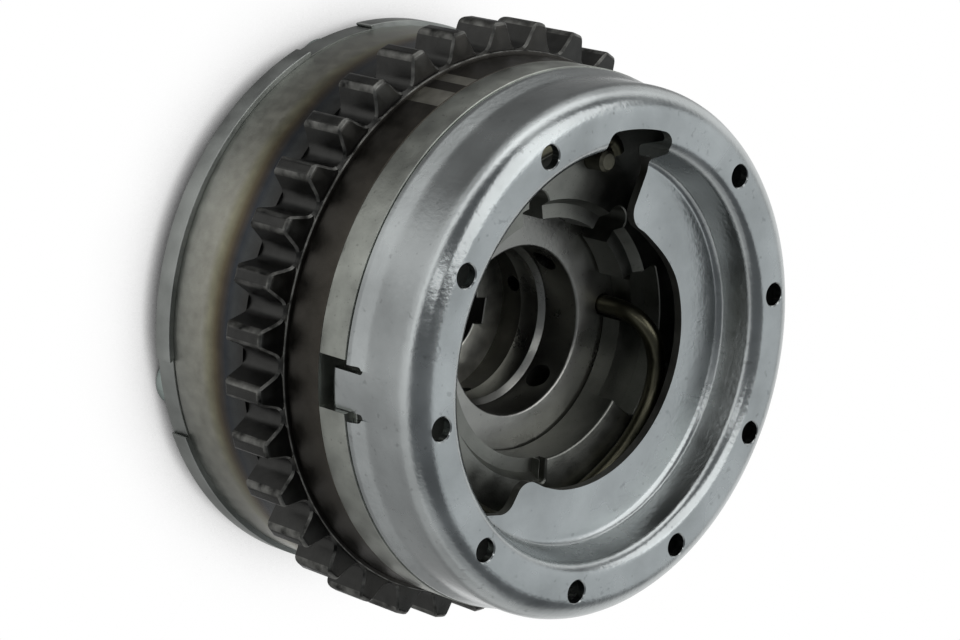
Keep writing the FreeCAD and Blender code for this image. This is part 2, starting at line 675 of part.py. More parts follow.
def make_pulse_wheel():
    body = new_body("pulse_wheel")
    sheet_metal = s.wheel_sheet
    inside = wheel_radius - sheet_metal
    back = s.wheel_front_level - sheet_metal
    floor_front = s.wheel_front_level - s.dish_depth
    floor_back = floor_front - sheet_metal
    foot = opening_radius - s.dish_draft
    skirt_end = rim_front + s.wheel_play
    flare_end = skirt_end + s.flare_rise
    flare_inside = flare_radius - sheet_metal
    revolve(body, "CupAndDish", [
        (flare_radius, skirt_end), (flare_radius, skirt_end + 1),
        (wheel_radius, flare_end), (wheel_radius, s.wheel_front_level),
        (opening_radius, s.wheel_front_level), (foot, floor_front),
        (s.lobe_edge - 2, floor_front), (s.lobe_edge - 2, floor_back),
        (foot + sheet_metal, floor_back), (opening_radius + sheet_metal, back),
        (inside, back), (inside, flare_end), (flare_inside, skirt_end + 1),
        (flare_inside, skirt_end)])
    smooth(body, "OuterBends", "Fillet", s.wheel_corner, lambda edge: (
        is_ring(edge, wheel_radius, s.wheel_front_level)))
    smooth(body, "InnerCorner", "Fillet", s.wheel_corner - sheet_metal, lambda edge: (
        is_ring(edge, inside, back)))
    smooth(body, "DishBends", "Fillet", s.dish_bend, lambda edge: (
        is_ring(edge, opening_radius, s.wheel_front_level)
        or is_ring(edge, foot + sheet_metal, floor_back)))
    smooth(body, "DishInnerBends", "Fillet", s.dish_bend - sheet_metal, lambda edge: (
        is_ring(edge, foot, floor_front)
        or is_ring(edge, opening_radius + sheet_metal, back)))
    above = s.wheel_front_level + 1
    below = floor_back - 1
    cut_opening(body, above, below)
    hole = cut_round(body, "SmallHole", s.hole_diameter / 2, hole_circle, s.hole_turn,
                     above, back - 1)
    pitch = Size(FULL_TURN, "360") / s.hole_places
    pattern(body, "SmallHoles", [hole], s.hole_places - 1, pitch * (s.hole_places - 2))
    add_tab(body, inside, skirt_end)


def cut_opening(body, above, below):
    """The open side, the window beside it, the floor's inner edge and its two ends."""
    full = Size(FULL_TURN, "360")
    start = s.floor_end + s.end_lean_front
    stop = s.floor_start - s.end_lean_rear + full
    cut_sector(body, "OpenSide", s.lobe_edge / 2, opening_radius, (stop - start) / 2,
               (start + stop) / 2, above, below)
    cut_sector(body, "Window", s.lobe_edge, window_radius, s.window_half, s.window_turn,
               above, below)
    smooth(body, "WindowCorners", "Fillet", s.window_corner, lambda edge: (
        is_upright(edge) and near(math.hypot(middle(edge).x, middle(edge).y), window_radius)))
    for name, end, reach, lean, side in (
            ("Front", s.floor_end, opening_radius - s.end_inset_front, s.end_lean_front, 1),
            ("Rear", s.floor_start, opening_radius - s.end_inset_rear, s.end_lean_rear, -1)):
        sketch = new_sketch(body, name + "EndOutline", "XY_Plane", level=above, turn=end)
        near_axis = s.lobe_edge / 2
        slant = lean * side
        corners = [
            (near_axis, ZERO, None), (reach, ZERO, s.end_bend_radius),
            ((opening_radius + 0.5) * cos(slant), (opening_radius + 0.5) * sin(slant), None),
            (near_axis * cos(slant * 2), near_axis * sin(slant * 2), None)]
        draw_rounded(sketch, corners)
        pocket(body, name + "EndCut", sketch, above - below)
    edge_sketch = new_sketch(body, "FloorEdge", "XY_Plane", level=above)
    draw_floor_edge(edge_sketch)
    pocket(body, "FloorEdgeCut", edge_sketch, above - below)
    smooth(body, "FloorEnds", "Fillet", s.lobe_corner, lambda edge: (
        is_upright(edge) and 22.6 < math.hypot(middle(edge).x, middle(edge).y) < s.floor_edge.number
        and min(abs(math.degrees(math.atan2(middle(edge).y, middle(edge).x)) - s.floor_end.number),
                abs(math.degrees(math.atan2(middle(edge).y, middle(edge).x))
                    - s.floor_start.number)) < 1))


def draw_rounded(sketch, corners):
    """Straight edges through (x, y, radius) corners; a corner with a radius is rounded."""
    points = [Vector(x.number, y.number, 0) for x, y, radius in corners]
    count = len(points)
    ends = []
    for i, (x, y, radius) in enumerate(corners):
        before = (points[i - 1] - points[i]).normalize()
        after = (points[(i + 1) % count] - points[i]).normalize()
        reach = radius.number / math.tan(before.getAngle(after) / 2) if radius else 0
        ends.append((points[i] + before * reach, points[i] + after * reach, before, after))
    lines = []
    for i in range(count):
        line = Part.LineSegment(ends[i][1], ends[(i + 1) % count][0])
        lines.append(sketch.addGeometry(line, False))
    for i, (x, y, radius) in enumerate(corners):
        incoming, outgoing = lines[i - 1], lines[i]
        if not radius:
            join(sketch, incoming, outgoing)
            fix_point(sketch, outgoing, 1, x, y)
            continue
        start, stop, before, after = ends[i]
        spread = before.getAngle(after) / 2
        centre = points[i] + (before + after).normalize() * (radius.number / math.sin(spread))
        middle_point = centre + (points[i] - centre).normalize() * radius.number
        arc = sketch.addGeometry(Part.Arc(start, middle_point, stop), False)
        flipped = (start - centre).cross(stop - centre).z < 0
        first, last = (2, 1) if flipped else (1, 2)
        sketch.addConstraint(Sketcher_constraint("Tangent", incoming, 2, arc, first))
        sketch.addConstraint(Sketcher_constraint("Tangent", arc, last, outgoing, 1))
        tie(sketch, "Radius", arc, size=radius)
        corner = sketch.addGeometry(Part.Point(points[i]), True)
        sketch.addConstraint(Sketcher_constraint("PointOnObject", corner, 1, incoming))
        sketch.addConstraint(Sketcher_constraint("PointOnObject", corner, 1, outgoing))
        fix_point(sketch, corner, 1, x, y)


def add_tab(body, inside, skirt_end):
    """The tab that turns the wheel with the cover, straight between two narrow cuts."""
    relief_half = s.tab_relief / wheel_radius * (FULL_TURN / 4 / math.pi)
    beside = s.tab_half + relief_half
    tab_end = skirt_end - s.tab_length
    cut_sector(body, "FlareGap", inside - 2, flare_radius + 1, beside, s.tab_turn,
               skirt_end + s.flare_rise + 1, tab_end - 1)
    sketch = new_sketch(body, "TabSector", "XY_Plane", level=tab_end, turn=s.tab_turn)
    draw_sector(sketch, inside + s.tab_step, wheel_radius - s.tab_step,
                beside + relief_half / 2)
    pad(body, "Tab", sketch, s.tab_length + s.flare_rise + s.tab_root)
    for index, side in enumerate((-1, 1)):
        cut_sector(body, f"TabRelief{index + 1}", inside - 2, flare_radius + 1, relief_half,
                   s.tab_turn + beside * side, skirt_end + s.relief_height, tab_end - 1)


def draw_floor_edge(sketch):
    """What is cut away inside the dish floor: an arc, then straight edges to its two lobes,
    which run on past the ends of the floor."""
    radius = s.floor_edge
    first, last = s.floor_arc_start, s.floor_arc_end
    arc = Part.Circle(Vector(0, 0, 0), Vector(0, 0, 1), radius.number)
    sketch.addGeometry(Part.ArcOfCircle(
        arc, math.radians(first.number), math.radians(last.number)), False)
    run_on = Size(9, "9")
    corners = [(radius, last), (s.lobe_edge, s.lobe_turn), (s.lobe_edge + 0.8, s.floor_end + run_on),
               (radius + 0.5, s.floor_start - run_on), (radius, first)]
    places = [(r * cos(turn), r * sin(turn)) for r, turn in corners]
    points = [Vector(x.number, y.number, 0) for x, y in places]
    for i in range(4):
        sketch.addGeometry(Part.LineSegment(points[i], points[i + 1]), False)
    sketch.addConstraint(Sketcher_constraint("Coincident", 0, 3, *ORIGIN))
    tie(sketch, "Radius", 0, size=radius)
    for i in range(5):
        join(sketch, i, (i + 1) % 5)
    tie(sketch, "DistanceX", *ORIGIN, 0, 1, size=places[4][0])
    tie(sketch, "DistanceY", *ORIGIN, 0, 2, size=places[0][1])
    for i in (1, 2, 3):
        fix_point(sketch, i, 2, *places[i])


# Screws and pins

def make_cover_screws():
    body = new_body("cover_screws")
    shank = s.screw_shank / 2
    head = s.screw_head / 2
    bevel = s.edge_bevel
    screw = new_sketch(body, "HeadCircle", "XY_Plane", turn=s.screw_turn)
    draw_circle(screw, head, screw_circle)
    head_pad = pad(body, "Head", screw, s.head_height)
    shank_sketch = new_sketch(body, "ShankCircle", "XY_Plane", level=s.head_height,
                              turn=s.screw_turn)
    draw_circle(shank_sketch, shank, screw_circle)
    shank_pad = pad(body, "Shank", shank_sketch, screw_end - s.head_height - bevel)
    socket = new_sketch(body, "SocketOutline", "XY_Plane", turn=s.screw_turn)
    draw_hexagon(socket, s.screw_socket, screw_circle)
    socket_cut = pocket(body, "Socket", socket, s.socket_depth)
    socket_cut.Reversed = True
    pattern(body, "Screws", [head_pad, shank_pad, socket_cut], s.screw_count)
    smooth(body, "HeadEdges", "Chamfer", bevel, lambda edge: (
        edge.Curve.TypeId == "Part::GeomCircle" and near(edge.Curve.Radius, head)
        and near(middle(edge).z, ZERO)))


def draw_hexagon(sketch, across, x):
    """A hexagon with two corners on the sketch's X axis."""
    side = across / math.sqrt(3)
    corners = []
    for index in range(6):
        angle = Size(60 * index, str(60 * index))
        corners.append((x + side * cos(angle), side * sin(angle)))
    points = [Vector(a.number, b.number, 0) for a, b in corners]
    for i in range(6):
        sketch.addGeometry(Part.LineSegment(points[i], points[(i + 1) % 6]), False)
    for i in range(6):
        join(sketch, i, (i + 1) % 6)
    for i, (a, b) in enumerate(corners):
        tie(sketch, "DistanceX", *ORIGIN, i, 1, size=a)
        if i % 3 == 0:
            sketch.addConstraint(Sketcher_constraint("PointOnObject", i, 1, AXES["X"]))
        else:
            tie(sketch, "DistanceY", *ORIGIN, i, 1, size=b)


def make_locating_dowels():
    body = new_body("locating_dowels")
    foot = cover_front - s.dowel_sink
    sketch = new_sketch(body, "DowelCircle", "XY_Plane", level=foot, turn=s.dowel_turn)
    draw_circle(sketch, s.dowel_diameter / 2, screw_circle)
    dowel = pad(body, "Dowel", sketch, s.dowel_length)
    pattern(body, "Dowels", [dowel], Size(2, "2"))
    smooth(body, "DowelEdges", "Chamfer", s.edge_bevel, lambda edge: (
        edge.Curve.TypeId == "Part::GeomCircle"))


def make_lock_bush():
    body = new_body("lock_bush")
    foot = ZERO
    mouth = s.edge_bevel
    revolve(body, "BushRing", [
        (s.bush_bore, foot), (s.bush_radius, foot), (s.bush_radius, s.bush_height),
        (s.bush_bore + mouth, s.bush_height), (s.bush_bore, s.bush_height - mouth)])
    put(body, lock_circle, lock_turn, chamber_rear - s.bush_height)


# Rotor: the hub that is bolted to the camshaft, with its vanes

def make_rotor():
    body = new_body("rotor")
    bevel = s.edge_bevel
    seat = s.journal_level + s.cam_depth
    revolve(body, "Hub", [
        (s.cam_bore, s.journal_level), (s.journal_radius - bevel, s.journal_level),
        (s.journal_radius, s.journal_level + bevel), (s.journal_radius, rotor_rear),
        (s.hub_radius, rotor_rear), (s.hub_radius, rotor_front),
        (s.valve_bore + bevel, rotor_front),
        (s.valve_bore, rotor_front - bevel), (s.valve_bore, s.valve_bore_level),
        (s.seat_bore, s.valve_bore_level - s.seat_bevel), (s.seat_bore, s.groove_level),
        (s.groove_radius, s.groove_level), (s.groove_radius, s.wall_level),
        (s.bolt_bore, s.wall_level), (s.bolt_bore, seat), (s.cam_bore, seat)])
    vane_sketch = new_sketch(body, "VaneSector", "XY_Plane", level=rotor_rear, turn=s.vane_turn)
    draw_sector(vane_sketch, s.hub_radius - 1, vane_radius, s.vane_half)
    vane = pad(body, "Vane", vane_sketch, rotor_front - rotor_rear)
    slot_sketch = new_sketch(body, "SealSlotOutline", "XY_Plane", level=rotor_front,
                             turn=s.vane_turn)
    half = s.seal_slot / 2
    slot_outer = vane_radius + 1
    draw_polygon(slot_sketch, [(seal_foot, -half), (slot_outer, -half), (slot_outer, half),
                               (seal_foot, half)])
    slot = pocket(body, "SealSlot", slot_sketch, rotor_front - rotor_rear)
    pattern(body, "Vanes", [vane, slot], s.vane_count)
    smooth(body, "VaneCorners", "Fillet", s.vane_corner, lambda edge: (
        is_upright(edge) and near(math.hypot(middle(edge).x, middle(edge).y), vane_radius)
        and is_vane_side(middle(edge))))
    for name, diameter, level, turn in (
            ("Port", s.port_diameter, s.port_level, s.vane_turn + s.port_turn),
            ("Return", s.return_diameter, (s.groove_level + s.wall_level) / 2,
             s.vane_turn - s.return_turn)):
        drill = radial_hole(body, name, diameter, level, turn)
        pattern(body, name + "s", [drill], s.vane_count)
    cut_round(body, "LockBore", lock_bore, lock_circle, lock_turn, rotor_front, rotor_rear)
    cut_round(body, "CapSeat", s.cap_radius + s.pin_play, lock_circle, lock_turn,
              rotor_front, cap_foot)
    cut_round(body, "LegHole", s.leg_hole / 2, s.leg_circle, s.leg_turn,
              rotor_front, s.leg_hole_level)
    notch = new_sketch(body, "FeedNotchOutline", "XY_Plane", level=s.wall_level,
                       turn=s.feed_turn)
    side = s.feed_width / 2
    draw_polygon(notch, [(s.bolt_bore / 2, -side), (s.feed_reach, -side), (s.feed_reach, side),
                         (s.bolt_bore / 2, side)])
    pocket(body, "FeedNotch", notch, s.wall_level - seat)
    cut_round(body, "CamDowelHole", s.cam_dowel_diameter / 2 + s.pin_play, s.cam_dowel_circle,
              s.cam_dowel_turn, seat + s.cam_dowel_sink, seat)


def is_vane_side(point):
    """A point on a flank of one of the vanes, not in the seal's slot."""
    step = FULL_TURN / s.vane_count.number
    turn = math.degrees(math.atan2(point.y, point.x)) - s.vane_turn.number
    off_centre = abs((turn + step / 2) % step - step / 2)
    return near(off_centre, s.vane_half, 1)


def radial_hole(body, name, diameter, level, turn):
    """A hole drilled outwards from the bore to the hub's surface."""
    drill = body.newObject("PartDesign::SubtractiveCylinder", name)
    start = s.seat_bore - 1
    length = s.hub_radius + 1 - start
    bind(drill, "Radius", diameter / 2)
    bind(drill, "Height", length)
    x, y = start * cos(turn), start * sin(turn)
    outward = Rotation(Vector(0, 0, 1), turn.number) * Rotation(Vector(0, 1, 0), 90)
    drill.Placement = Placement(Vector(x.number, y.number, level.number), outward)
    bind(drill, "Placement.Base.x", x)
    bind(drill, "Placement.Base.y", y)
    bind(drill, "Placement.Base.z", level)
    body.Tip = drill
    return drill


# Vane seals and the leaf springs that press them out

def make_vane_seal(index):
    body = new_body(f"vane_seal_{index + 1}")
    outer = chamber_radius - s.seal_tip_play
    half = s.seal_slot / 2 - s.seal_side_play
    foot = rotor_rear + s.vane_play
    sketch = new_sketch(body, "SealOutline", "XY_Plane", level=foot)
    inner = outer - s.seal_height
    draw_polygon(sketch, [(inner, -half), (outer + 1, -half), (outer + 1, half),
                          (inner, half)])
    pad(body, "Seal", sketch, rotor_front - s.vane_play - foot)
    crown = new_sketch(body, "CrownSector", "XY_Plane", level=rotor_front)
    draw_sector(crown, outer, outer + 3, s.vane_half)
    pocket(body, "Crown", crown, rotor_front - rotor_rear)
    put(body, ZERO, s.vane_turn + vane_step * index)


def make_leaf_spring(index):
    body = new_body(f"vane_seal_spring_{index + 1}")
    bow = s.leaf_length * s.leaf_length / (s.leaf_rise * 8)
    half = Size(math.degrees(math.asin(s.leaf_length.number / 2 / bow.number)),
                f"asin({s.leaf_length.text} / 2 / {bow.text}) / 1 deg")
    sketch = body.newObject("Sketcher::SketchObject", "LeafOutline")
    plane = next(item for item in body.Origin.OriginFeatures if item.Role == "XZ_Plane")
    sketch.AttachmentSupport = [(plane, "")]
    sketch.MapMode = "FlatFace"
    draw_sector(sketch, bow - s.leaf_thickness, bow, half)
    width = s.seal_slot - s.seal_side_play * 4
    leaf = pad(body, "Leaf", sketch, width)
    leaf.Midplane = True
    turn = s.vane_turn + vane_step * index
    inner = chamber_radius - s.seal_tip_play - s.seal_height
    crown = inner - s.vane_play - bow
    middle_level = (rotor_front + rotor_rear) / 2
    put(body, crown, turn, middle_level)


# Lock pin, its spring and its cap

def make_lock_pin():
    body = new_body("lock_pin")
    bevel = s.edge_bevel
    length = s.lock_length
    revolve(body, "Pin", [
        (ZERO, ZERO), (s.lock_radius - bevel, ZERO), (s.lock_radius, bevel),
        (s.lock_radius, length), (s.lock_cup_radius, length),
        (s.lock_cup_radius, length - s.lock_cup_depth), (ZERO, length - s.lock_cup_depth)])
    put(body, lock_circle, lock_turn, rotor_rear + s.lock_lift)


def make_lock_pin_cap():
    body = new_body("lock_pin_cap")
    revolve(body, "Cap", [
        (s.cap_vent, ZERO), (s.cap_radius, ZERO), (s.cap_radius, s.cap_height),
        (s.cap_vent, s.cap_height)])
    put(body, lock_circle, lock_turn, cap_foot)


def make_lock_pin_spring():
    """A helix of round wire between the lock pin's hollow and its cap."""
    wire = s.lock_wire.number
    play = s.lock_play.number
    foot = rotor_rear + s.lock_lift + s.lock_length - s.lock_cup_depth
    height = cap_foot.number - foot.number - wire - play * 2
    radius = s.lock_cup_radius.number - wire / 2 - play * 2
    helix = Part.makeHelix(height / s.lock_coils.number, height, radius)
    ring = Part.Wire(Part.makeCircle(wire / 2, Vector(radius, 0, 0), Vector(0, 1, 0)))
    coil = Part.Wire(helix).makePipeShell([ring], True, True)
    spring = doc.addObject("Part::Feature", "lock_pin_spring")
    spring.Label = "lock_pin_spring"
    spring.Shape = coil
    put(spring, lock_circle, lock_turn, foot + s.lock_wire / 2 + s.lock_play)
    pieces.append(spring)


# Stud and return spring: round wire from the rotor's hole, round the cover, to the stud

def make_spring_stud():
    body = new_body("spring_stud")
    radius = s.stud_diameter / 2
    bevel = s.edge_bevel
    top = s.stud_top - s.stud_foot
    revolve(body, "Stud", [
        (ZERO, ZERO), (radius, ZERO), (radius, top - bevel), (radius - bevel, top),
        (ZERO, top)])
    put(body, s.stud_circle, s.stud_turn, s.stud_foot)


def make_return_spring():
    level = wire_level.number
    wire = s.wire_diameter.number / 2
    inner = s.coil_start.number
    lead = s.coil_lead.number
    outer = s.coil_radius.number

    def at(radius, degrees, height=level):
        angle = math.radians(degrees)
        return Vector(radius * math.cos(angle), radius * math.sin(angle), height)

    leg = s.leg_circle.number
    turn = s.leg_turn.number
    foot = at(leg, turn, s.leg_level.number)
    bend_foot = s.bend_level.number
    coil_turn = s.coil_turn.number
    points = [foot, at(leg, turn, (s.leg_level.number + bend_foot) / 2)]
    for step in range(6):
        lean = math.radians(15 * step)
        over = 1 - math.cos(lean)
        points.append(at(leg + (inner - leg) * over, turn + (coil_turn - turn) * over,
                         bend_foot + (level - bend_foot) * math.sin(lean)))
    reach = s.stud_diameter.number / 2 + wire + s.hook_play.number
    outward = s.stud_turn.number
    stud_circle = s.stud_circle.number
    stud = at(stud_circle, outward)
    first, last = coil_turn, outward - FULL_TURN + 6
    steps = 40
    for step in range(steps):
        degrees = first + (last - first) * step / steps
        widened = 1 - math.exp((degrees - coil_turn) / s.lead_turn.number)
        out = min(1, max(0, (-65 - degrees) / 65))
        radius = inner + (lead - inner) * widened + (outer - lead) * out * out * (3 - 2 * out)
        near_end = min(1, max(0, (last + 60 - degrees) / 60))
        radius += (stud_circle + reach - outer) * near_end * near_end * (3 - 2 * near_end)
        points.append(at(radius, degrees))
    for lean in (0, -20, -40, -60):
        angle = math.radians(outward + lean)
        points.append(stud + Vector(math.cos(angle), math.sin(angle), 0) * reach)
    curve = Part.BSplineCurve()
    curve.interpolate(Points=points, InitialTangent=Vector(0, 0, 1),
                      FinalTangent=Vector(math.sin(angle), -math.cos(angle), 0))
    path = Part.Wire([curve.toShape()])
    ring = Part.Wire(Part.makeCircle(wire, foot, Vector(0, 0, 1)))
    spring = doc.addObject("Part::Feature", "return_spring")
    spring.Label = "return_spring"
    spring.Shape = path.makePipeShell([ring], True, False)
    pieces.append(spring)


make_sprocket_housing()
make_rear_cover()
make_front_cover()
make_pulse_wheel()
make_cover_screws()
make_locating_dowels()
make_lock_bush()
make_rotor()
for vane_index in range(int(s.vane_count.number)):
    make_vane_seal(vane_index)
    make_leaf_spring(vane_index)
make_lock_pin()
make_lock_pin_cap()
make_lock_pin_spring()
make_spring_stud()
make_return_spring()
doc.recompute()

for thing in doc.Objects:
    if "Invalid" in thing.State or "Error" in thing.State:
        raise RuntimeError(f"{thing.Label} did not build: {thing.State}")
os.makedirs("parts", exist_ok=True)
for piece in pieces:
    shape = piece.Shape
    if shape.isNull() or not shape.isValid():
        raise RuntimeError(f"{piece.Label} has no sound shape")
    shape.exportStep(f"parts/{piece.Label}.step")
    print(piece.Label, len(shape.Solids), "solid(s)", round(shape.Volume, 1), "mm3")
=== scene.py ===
"""Looks of the camshaft pulley: fine meshes, materials, light and the photo's camera."""
import math
import bpy
import bmesh
from mathutils import Matrix, Vector


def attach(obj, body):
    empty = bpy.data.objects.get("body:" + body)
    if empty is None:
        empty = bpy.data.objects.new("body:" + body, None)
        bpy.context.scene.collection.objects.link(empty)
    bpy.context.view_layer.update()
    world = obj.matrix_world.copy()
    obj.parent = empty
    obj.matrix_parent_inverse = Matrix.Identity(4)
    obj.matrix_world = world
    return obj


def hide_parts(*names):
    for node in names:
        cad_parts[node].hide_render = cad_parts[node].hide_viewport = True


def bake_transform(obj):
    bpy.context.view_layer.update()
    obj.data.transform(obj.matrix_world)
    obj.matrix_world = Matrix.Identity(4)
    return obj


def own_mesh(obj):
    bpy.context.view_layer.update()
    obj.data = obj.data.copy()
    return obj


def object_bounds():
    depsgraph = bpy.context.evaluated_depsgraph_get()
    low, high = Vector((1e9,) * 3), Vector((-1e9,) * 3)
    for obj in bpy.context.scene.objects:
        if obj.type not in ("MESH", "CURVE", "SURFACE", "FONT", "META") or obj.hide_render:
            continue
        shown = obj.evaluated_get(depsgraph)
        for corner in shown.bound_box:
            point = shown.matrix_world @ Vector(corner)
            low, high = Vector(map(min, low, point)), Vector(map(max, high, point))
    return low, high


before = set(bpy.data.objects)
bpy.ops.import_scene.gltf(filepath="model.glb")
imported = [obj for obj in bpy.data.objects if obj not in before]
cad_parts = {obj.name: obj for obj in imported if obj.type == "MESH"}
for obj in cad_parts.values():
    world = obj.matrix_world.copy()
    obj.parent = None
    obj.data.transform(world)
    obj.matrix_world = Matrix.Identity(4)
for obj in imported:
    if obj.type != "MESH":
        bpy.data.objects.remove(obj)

cad_low, cad_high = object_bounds()
MM = 0.001
TURN = 2 * math.pi
scene = bpy.context.scene


# Sizes that several pieces share, as the solids have them: levels, radii and angles

REAR_LEVEL, COVER_LEVEL, CHAMBER_LEVEL = 4.0, 8.0, 10.0
CHAMBER_TOP, RIM_LEVEL, COVER_FRONT, WHEEL_FRONT = 42.0, 44.0, 50.2, 65.8
ROTOR_REAR, ROTOR_FRONT = 10.05, 41.95
TEETH_LOW, TEETH_HIGH, TOOTH_COUNT = 26.5, 35.5, 34
HUB, SPIGOT, CHAMBER, RIM = 27.0, 38.45, 38.5, 47.5
VANES, VANE_TURN = 4, 18.8
SCREWS, SCREW_CIRCLE, SCREW_TURN, SCREW_HOLE = 4, 43.4, 6.5, 2.65
DOWELS, DOWEL_TURN, PIN_HOLE = 2, 51.5, 2.02
LOCK_CIRCLE, LOCK_TURN = 31.2, 198.8
LEG_CIRCLE, LEG_TURN = 21.5, -3.0
STUD_CIRCLE, STUD_TURN = 32.1, 67.0
TAB_TURN = 174.2
# How far a cutter passes the face that it opens
PAST = 1.0


# Outlines and meshes

def polar(r, degrees):
    a = math.radians(degrees)
    return (r * math.cos(a), r * math.sin(a))


def polar_corner(r, degrees, radius=0):
    return (*polar(r, degrees), radius)


def rounded(corners, steps=6):
    """A closed outline whose corners (x, y, radius) are rounded."""
    out = []
    n = len(corners)
    for i in range(n):
        p = Vector(corners[i][:2])
        rad = corners[i][2] if len(corners[i]) > 2 else 0
        if not rad:
            out.append(tuple(p))
            continue
        a = (Vector(corners[i - 1][:2]) - p).normalized()
        b = (Vector(corners[(i + 1) % n][:2]) - p).normalized()
        angle = a.angle(b)
        reach = rad / math.tan(angle / 2)
        centre = p + (a + b).normalized() * (rad / math.sin(angle / 2))
        start = p + a * reach - centre
        stop = p + b * reach - centre
        sweep = start.angle_signed(stop)
        for k in range(steps + 1):
            t = -sweep * k / steps
            c, s = math.cos(t), math.sin(t)
            out.append((centre.x + start.x * c - start.y * s, centre.y + start.x * s + start.y * c))
    return out


def arc_points(r, a0, a1):
    """An arc about the axis, with a point for each degree."""
    n = max(2, int(math.ceil(abs(a1 - a0))))
    return [polar(r, a0 + (a1 - a0) * k / n) for k in range(n + 1)]


def circle_points(cx, cy, r, n):
    return [(cx + r * math.cos(TURN * k / n), cy + r * math.sin(TURN * k / n)) for k in range(n)]


def slot_points(foot, reach, half, steps):
    """A slot along x from its foot, with a round end of radius half beyond its reach."""
    ends = [(reach + half * math.sin(math.pi * k / steps), -half * math.cos(math.pi * k / steps))
            for k in range(steps + 1)]
    return [(foot, -half)] + ends + [(foot, half)]


def rectangle_points(foot, reach, half):
    return [(foot, -half), (reach, -half), (reach, half), (foot, half)]


def edge_points(r, rad, first, last, inner):
    """The edge of a ring sector from one angle to the other, with its corners rounded."""
    if not rad:
        return arc_points(r, first, last)
    steps = 8
    rc = r + rad if inner else r - rad
    shift = math.degrees(math.asin(rad / rc))
    inwards = 1 if last > first else -1
    ends = []
    for side, sign in ((first, inwards), (last, -inwards)):
        cx, cy = polar(rc, side + sign * shift)
        corner = []
        for k in range(steps + 1):
            lean = shift - k / steps * (90 + shift)
            if inner:
                lean = shift + 180 - k / steps * (90 + shift)
            x, y = polar(rad, side + sign * lean)
            corner.append((cx + x, cy + y))
        ends.append(corner)
    middle = arc_points(r, first + inwards * shift, last - inwards * shift)[1:-1]
    return ends[0][::-1] + middle + ends[1]


def sector(r0, r1, a0, a1, c0=0.0, c1=0.0):
    """A ring sector with corners of radius c0 at its inner and c1 at its outer edge."""
    return edge_points(r1, c1, a0, a1, False) + edge_points(r0, c0, a1, a0, True)


def tidy_loop(pts):
    """The outline without doubled points, anticlockwise."""
    nearest = 1e-4
    out = []
    for p in pts:
        if not out or math.dist(p, out[-1]) > nearest:
            out.append(p)
    if math.dist(out[0], out[-1]) < nearest:
        out.pop()
    area = sum(out[i - 1][0] * out[i][1] - out[i][0] * out[i - 1][1] for i in range(len(out)))
    return out if area > 0 else out[::-1]


def offset(pts, d):
    """The outline moved out by d."""
    sharpest = 0.35
    n = len(pts)
    res = []
    for i in range(n):
        p0, p1, p2 = Vector(pts[i - 1]), Vector(pts[i]), Vector(pts[(i + 1) % n])
        e0, e1 = (p1 - p0).normalized(), (p2 - p1).normalized()
        m = Vector((e0.y + e1.y, -e0.x - e1.x))
        m.normalize()
        cosine = max(sharpest, m.dot(Vector((e0.y, -e0.x))))
        q = p1 + m * (d / cosine)
        res.append((q.x, q.y))
    return res


def new_object(name, verts, faces):
    """An object from points in mm, with its faces turned outwards."""
    mesh = bpy.data.meshes.new(name)
    mesh.from_pydata([(x * MM, y * MM, z * MM) for x, y, z in verts], [], faces)
    bm = bmesh.new()
    bm.from_mesh(mesh)
    bmesh.ops.recalc_face_normals(bm, faces=bm.faces)
    bm.to_mesh(mesh)
    bm.free()
    obj = bpy.data.objects.new(name, mesh)
    scene.collection.objects.link(obj)
    return obj


def ring(name, profile, n=360, a0=0.0, a1=360.0):
    """A closed (radius, height) profile turned about the axis, all round or over an angle."""
    full = abs(a1 - a0) >= 360
    m = len(profile)
    turns = n if full else n + 1
    verts = []
    for k in range(turns):
        c, s = polar(1, a0 + (a1 - a0) * k / n)
        verts += [(r * c, r * s, z) for r, z in profile]
    faces = []
    for k in range(n):
        q = (k + 1) % turns
        for i in range(m):
            j = (i + 1) % m
            faces.append((k * m + i, k * m + j, q * m + j, q * m + i))
    if not full:
        faces.append(tuple(range(m)))
        faces.append(tuple(range((turns - 1) * m, turns * m)))
    return new_object(name, verts, faces)


def spun(count, first, step=None):
    """Matrices that turn a thing about the axis."""
    step = 360 / count if step is None else step
    return [Matrix.Rotation(math.radians(first + step * k), 4, "Z") for k in range(count)]


def lying(turn, level):
    """A matrix that lays a cutter along the radius, at an angle and a level."""
    laid = Matrix.Rotation(math.pi / 2, 4, "Y")
    return Matrix.Rotation(math.radians(turn), 4, "Z") @ Matrix.Translation((0, 0, level)) @ laid


def cutter(loop, low, high, bevel=0.0, places=None):
    """A cutter from level low to high, once or at each place. It can bevel the upper edge."""
    loop = tidy_loop(loop)
    stages = [(loop, low), (loop, high)]
    if bevel:
        over = 0.6
        stages = [(loop, low), (loop, high - bevel), (offset(loop, bevel + over), high + over)]
    n = len(loop)
    verts, faces = [], []
    for place in places or [Matrix()]:
        base = len(verts)
        for outline, z in stages:
            verts += [tuple(place @ Vector((x, y, z))) for x, y in outline]
        for k in range(len(stages) - 1):
            a, b = base + k * n, base + (k + 1) * n
            faces += [(a + i, a + (i + 1) % n, b + (i + 1) % n, b + i) for i in range(n)]
        faces.append(tuple(range(base + n - 1, base - 1, -1)))
        faces.append(tuple(range(len(verts) - n, len(verts))))
    return new_object("cutter", verts, faces)


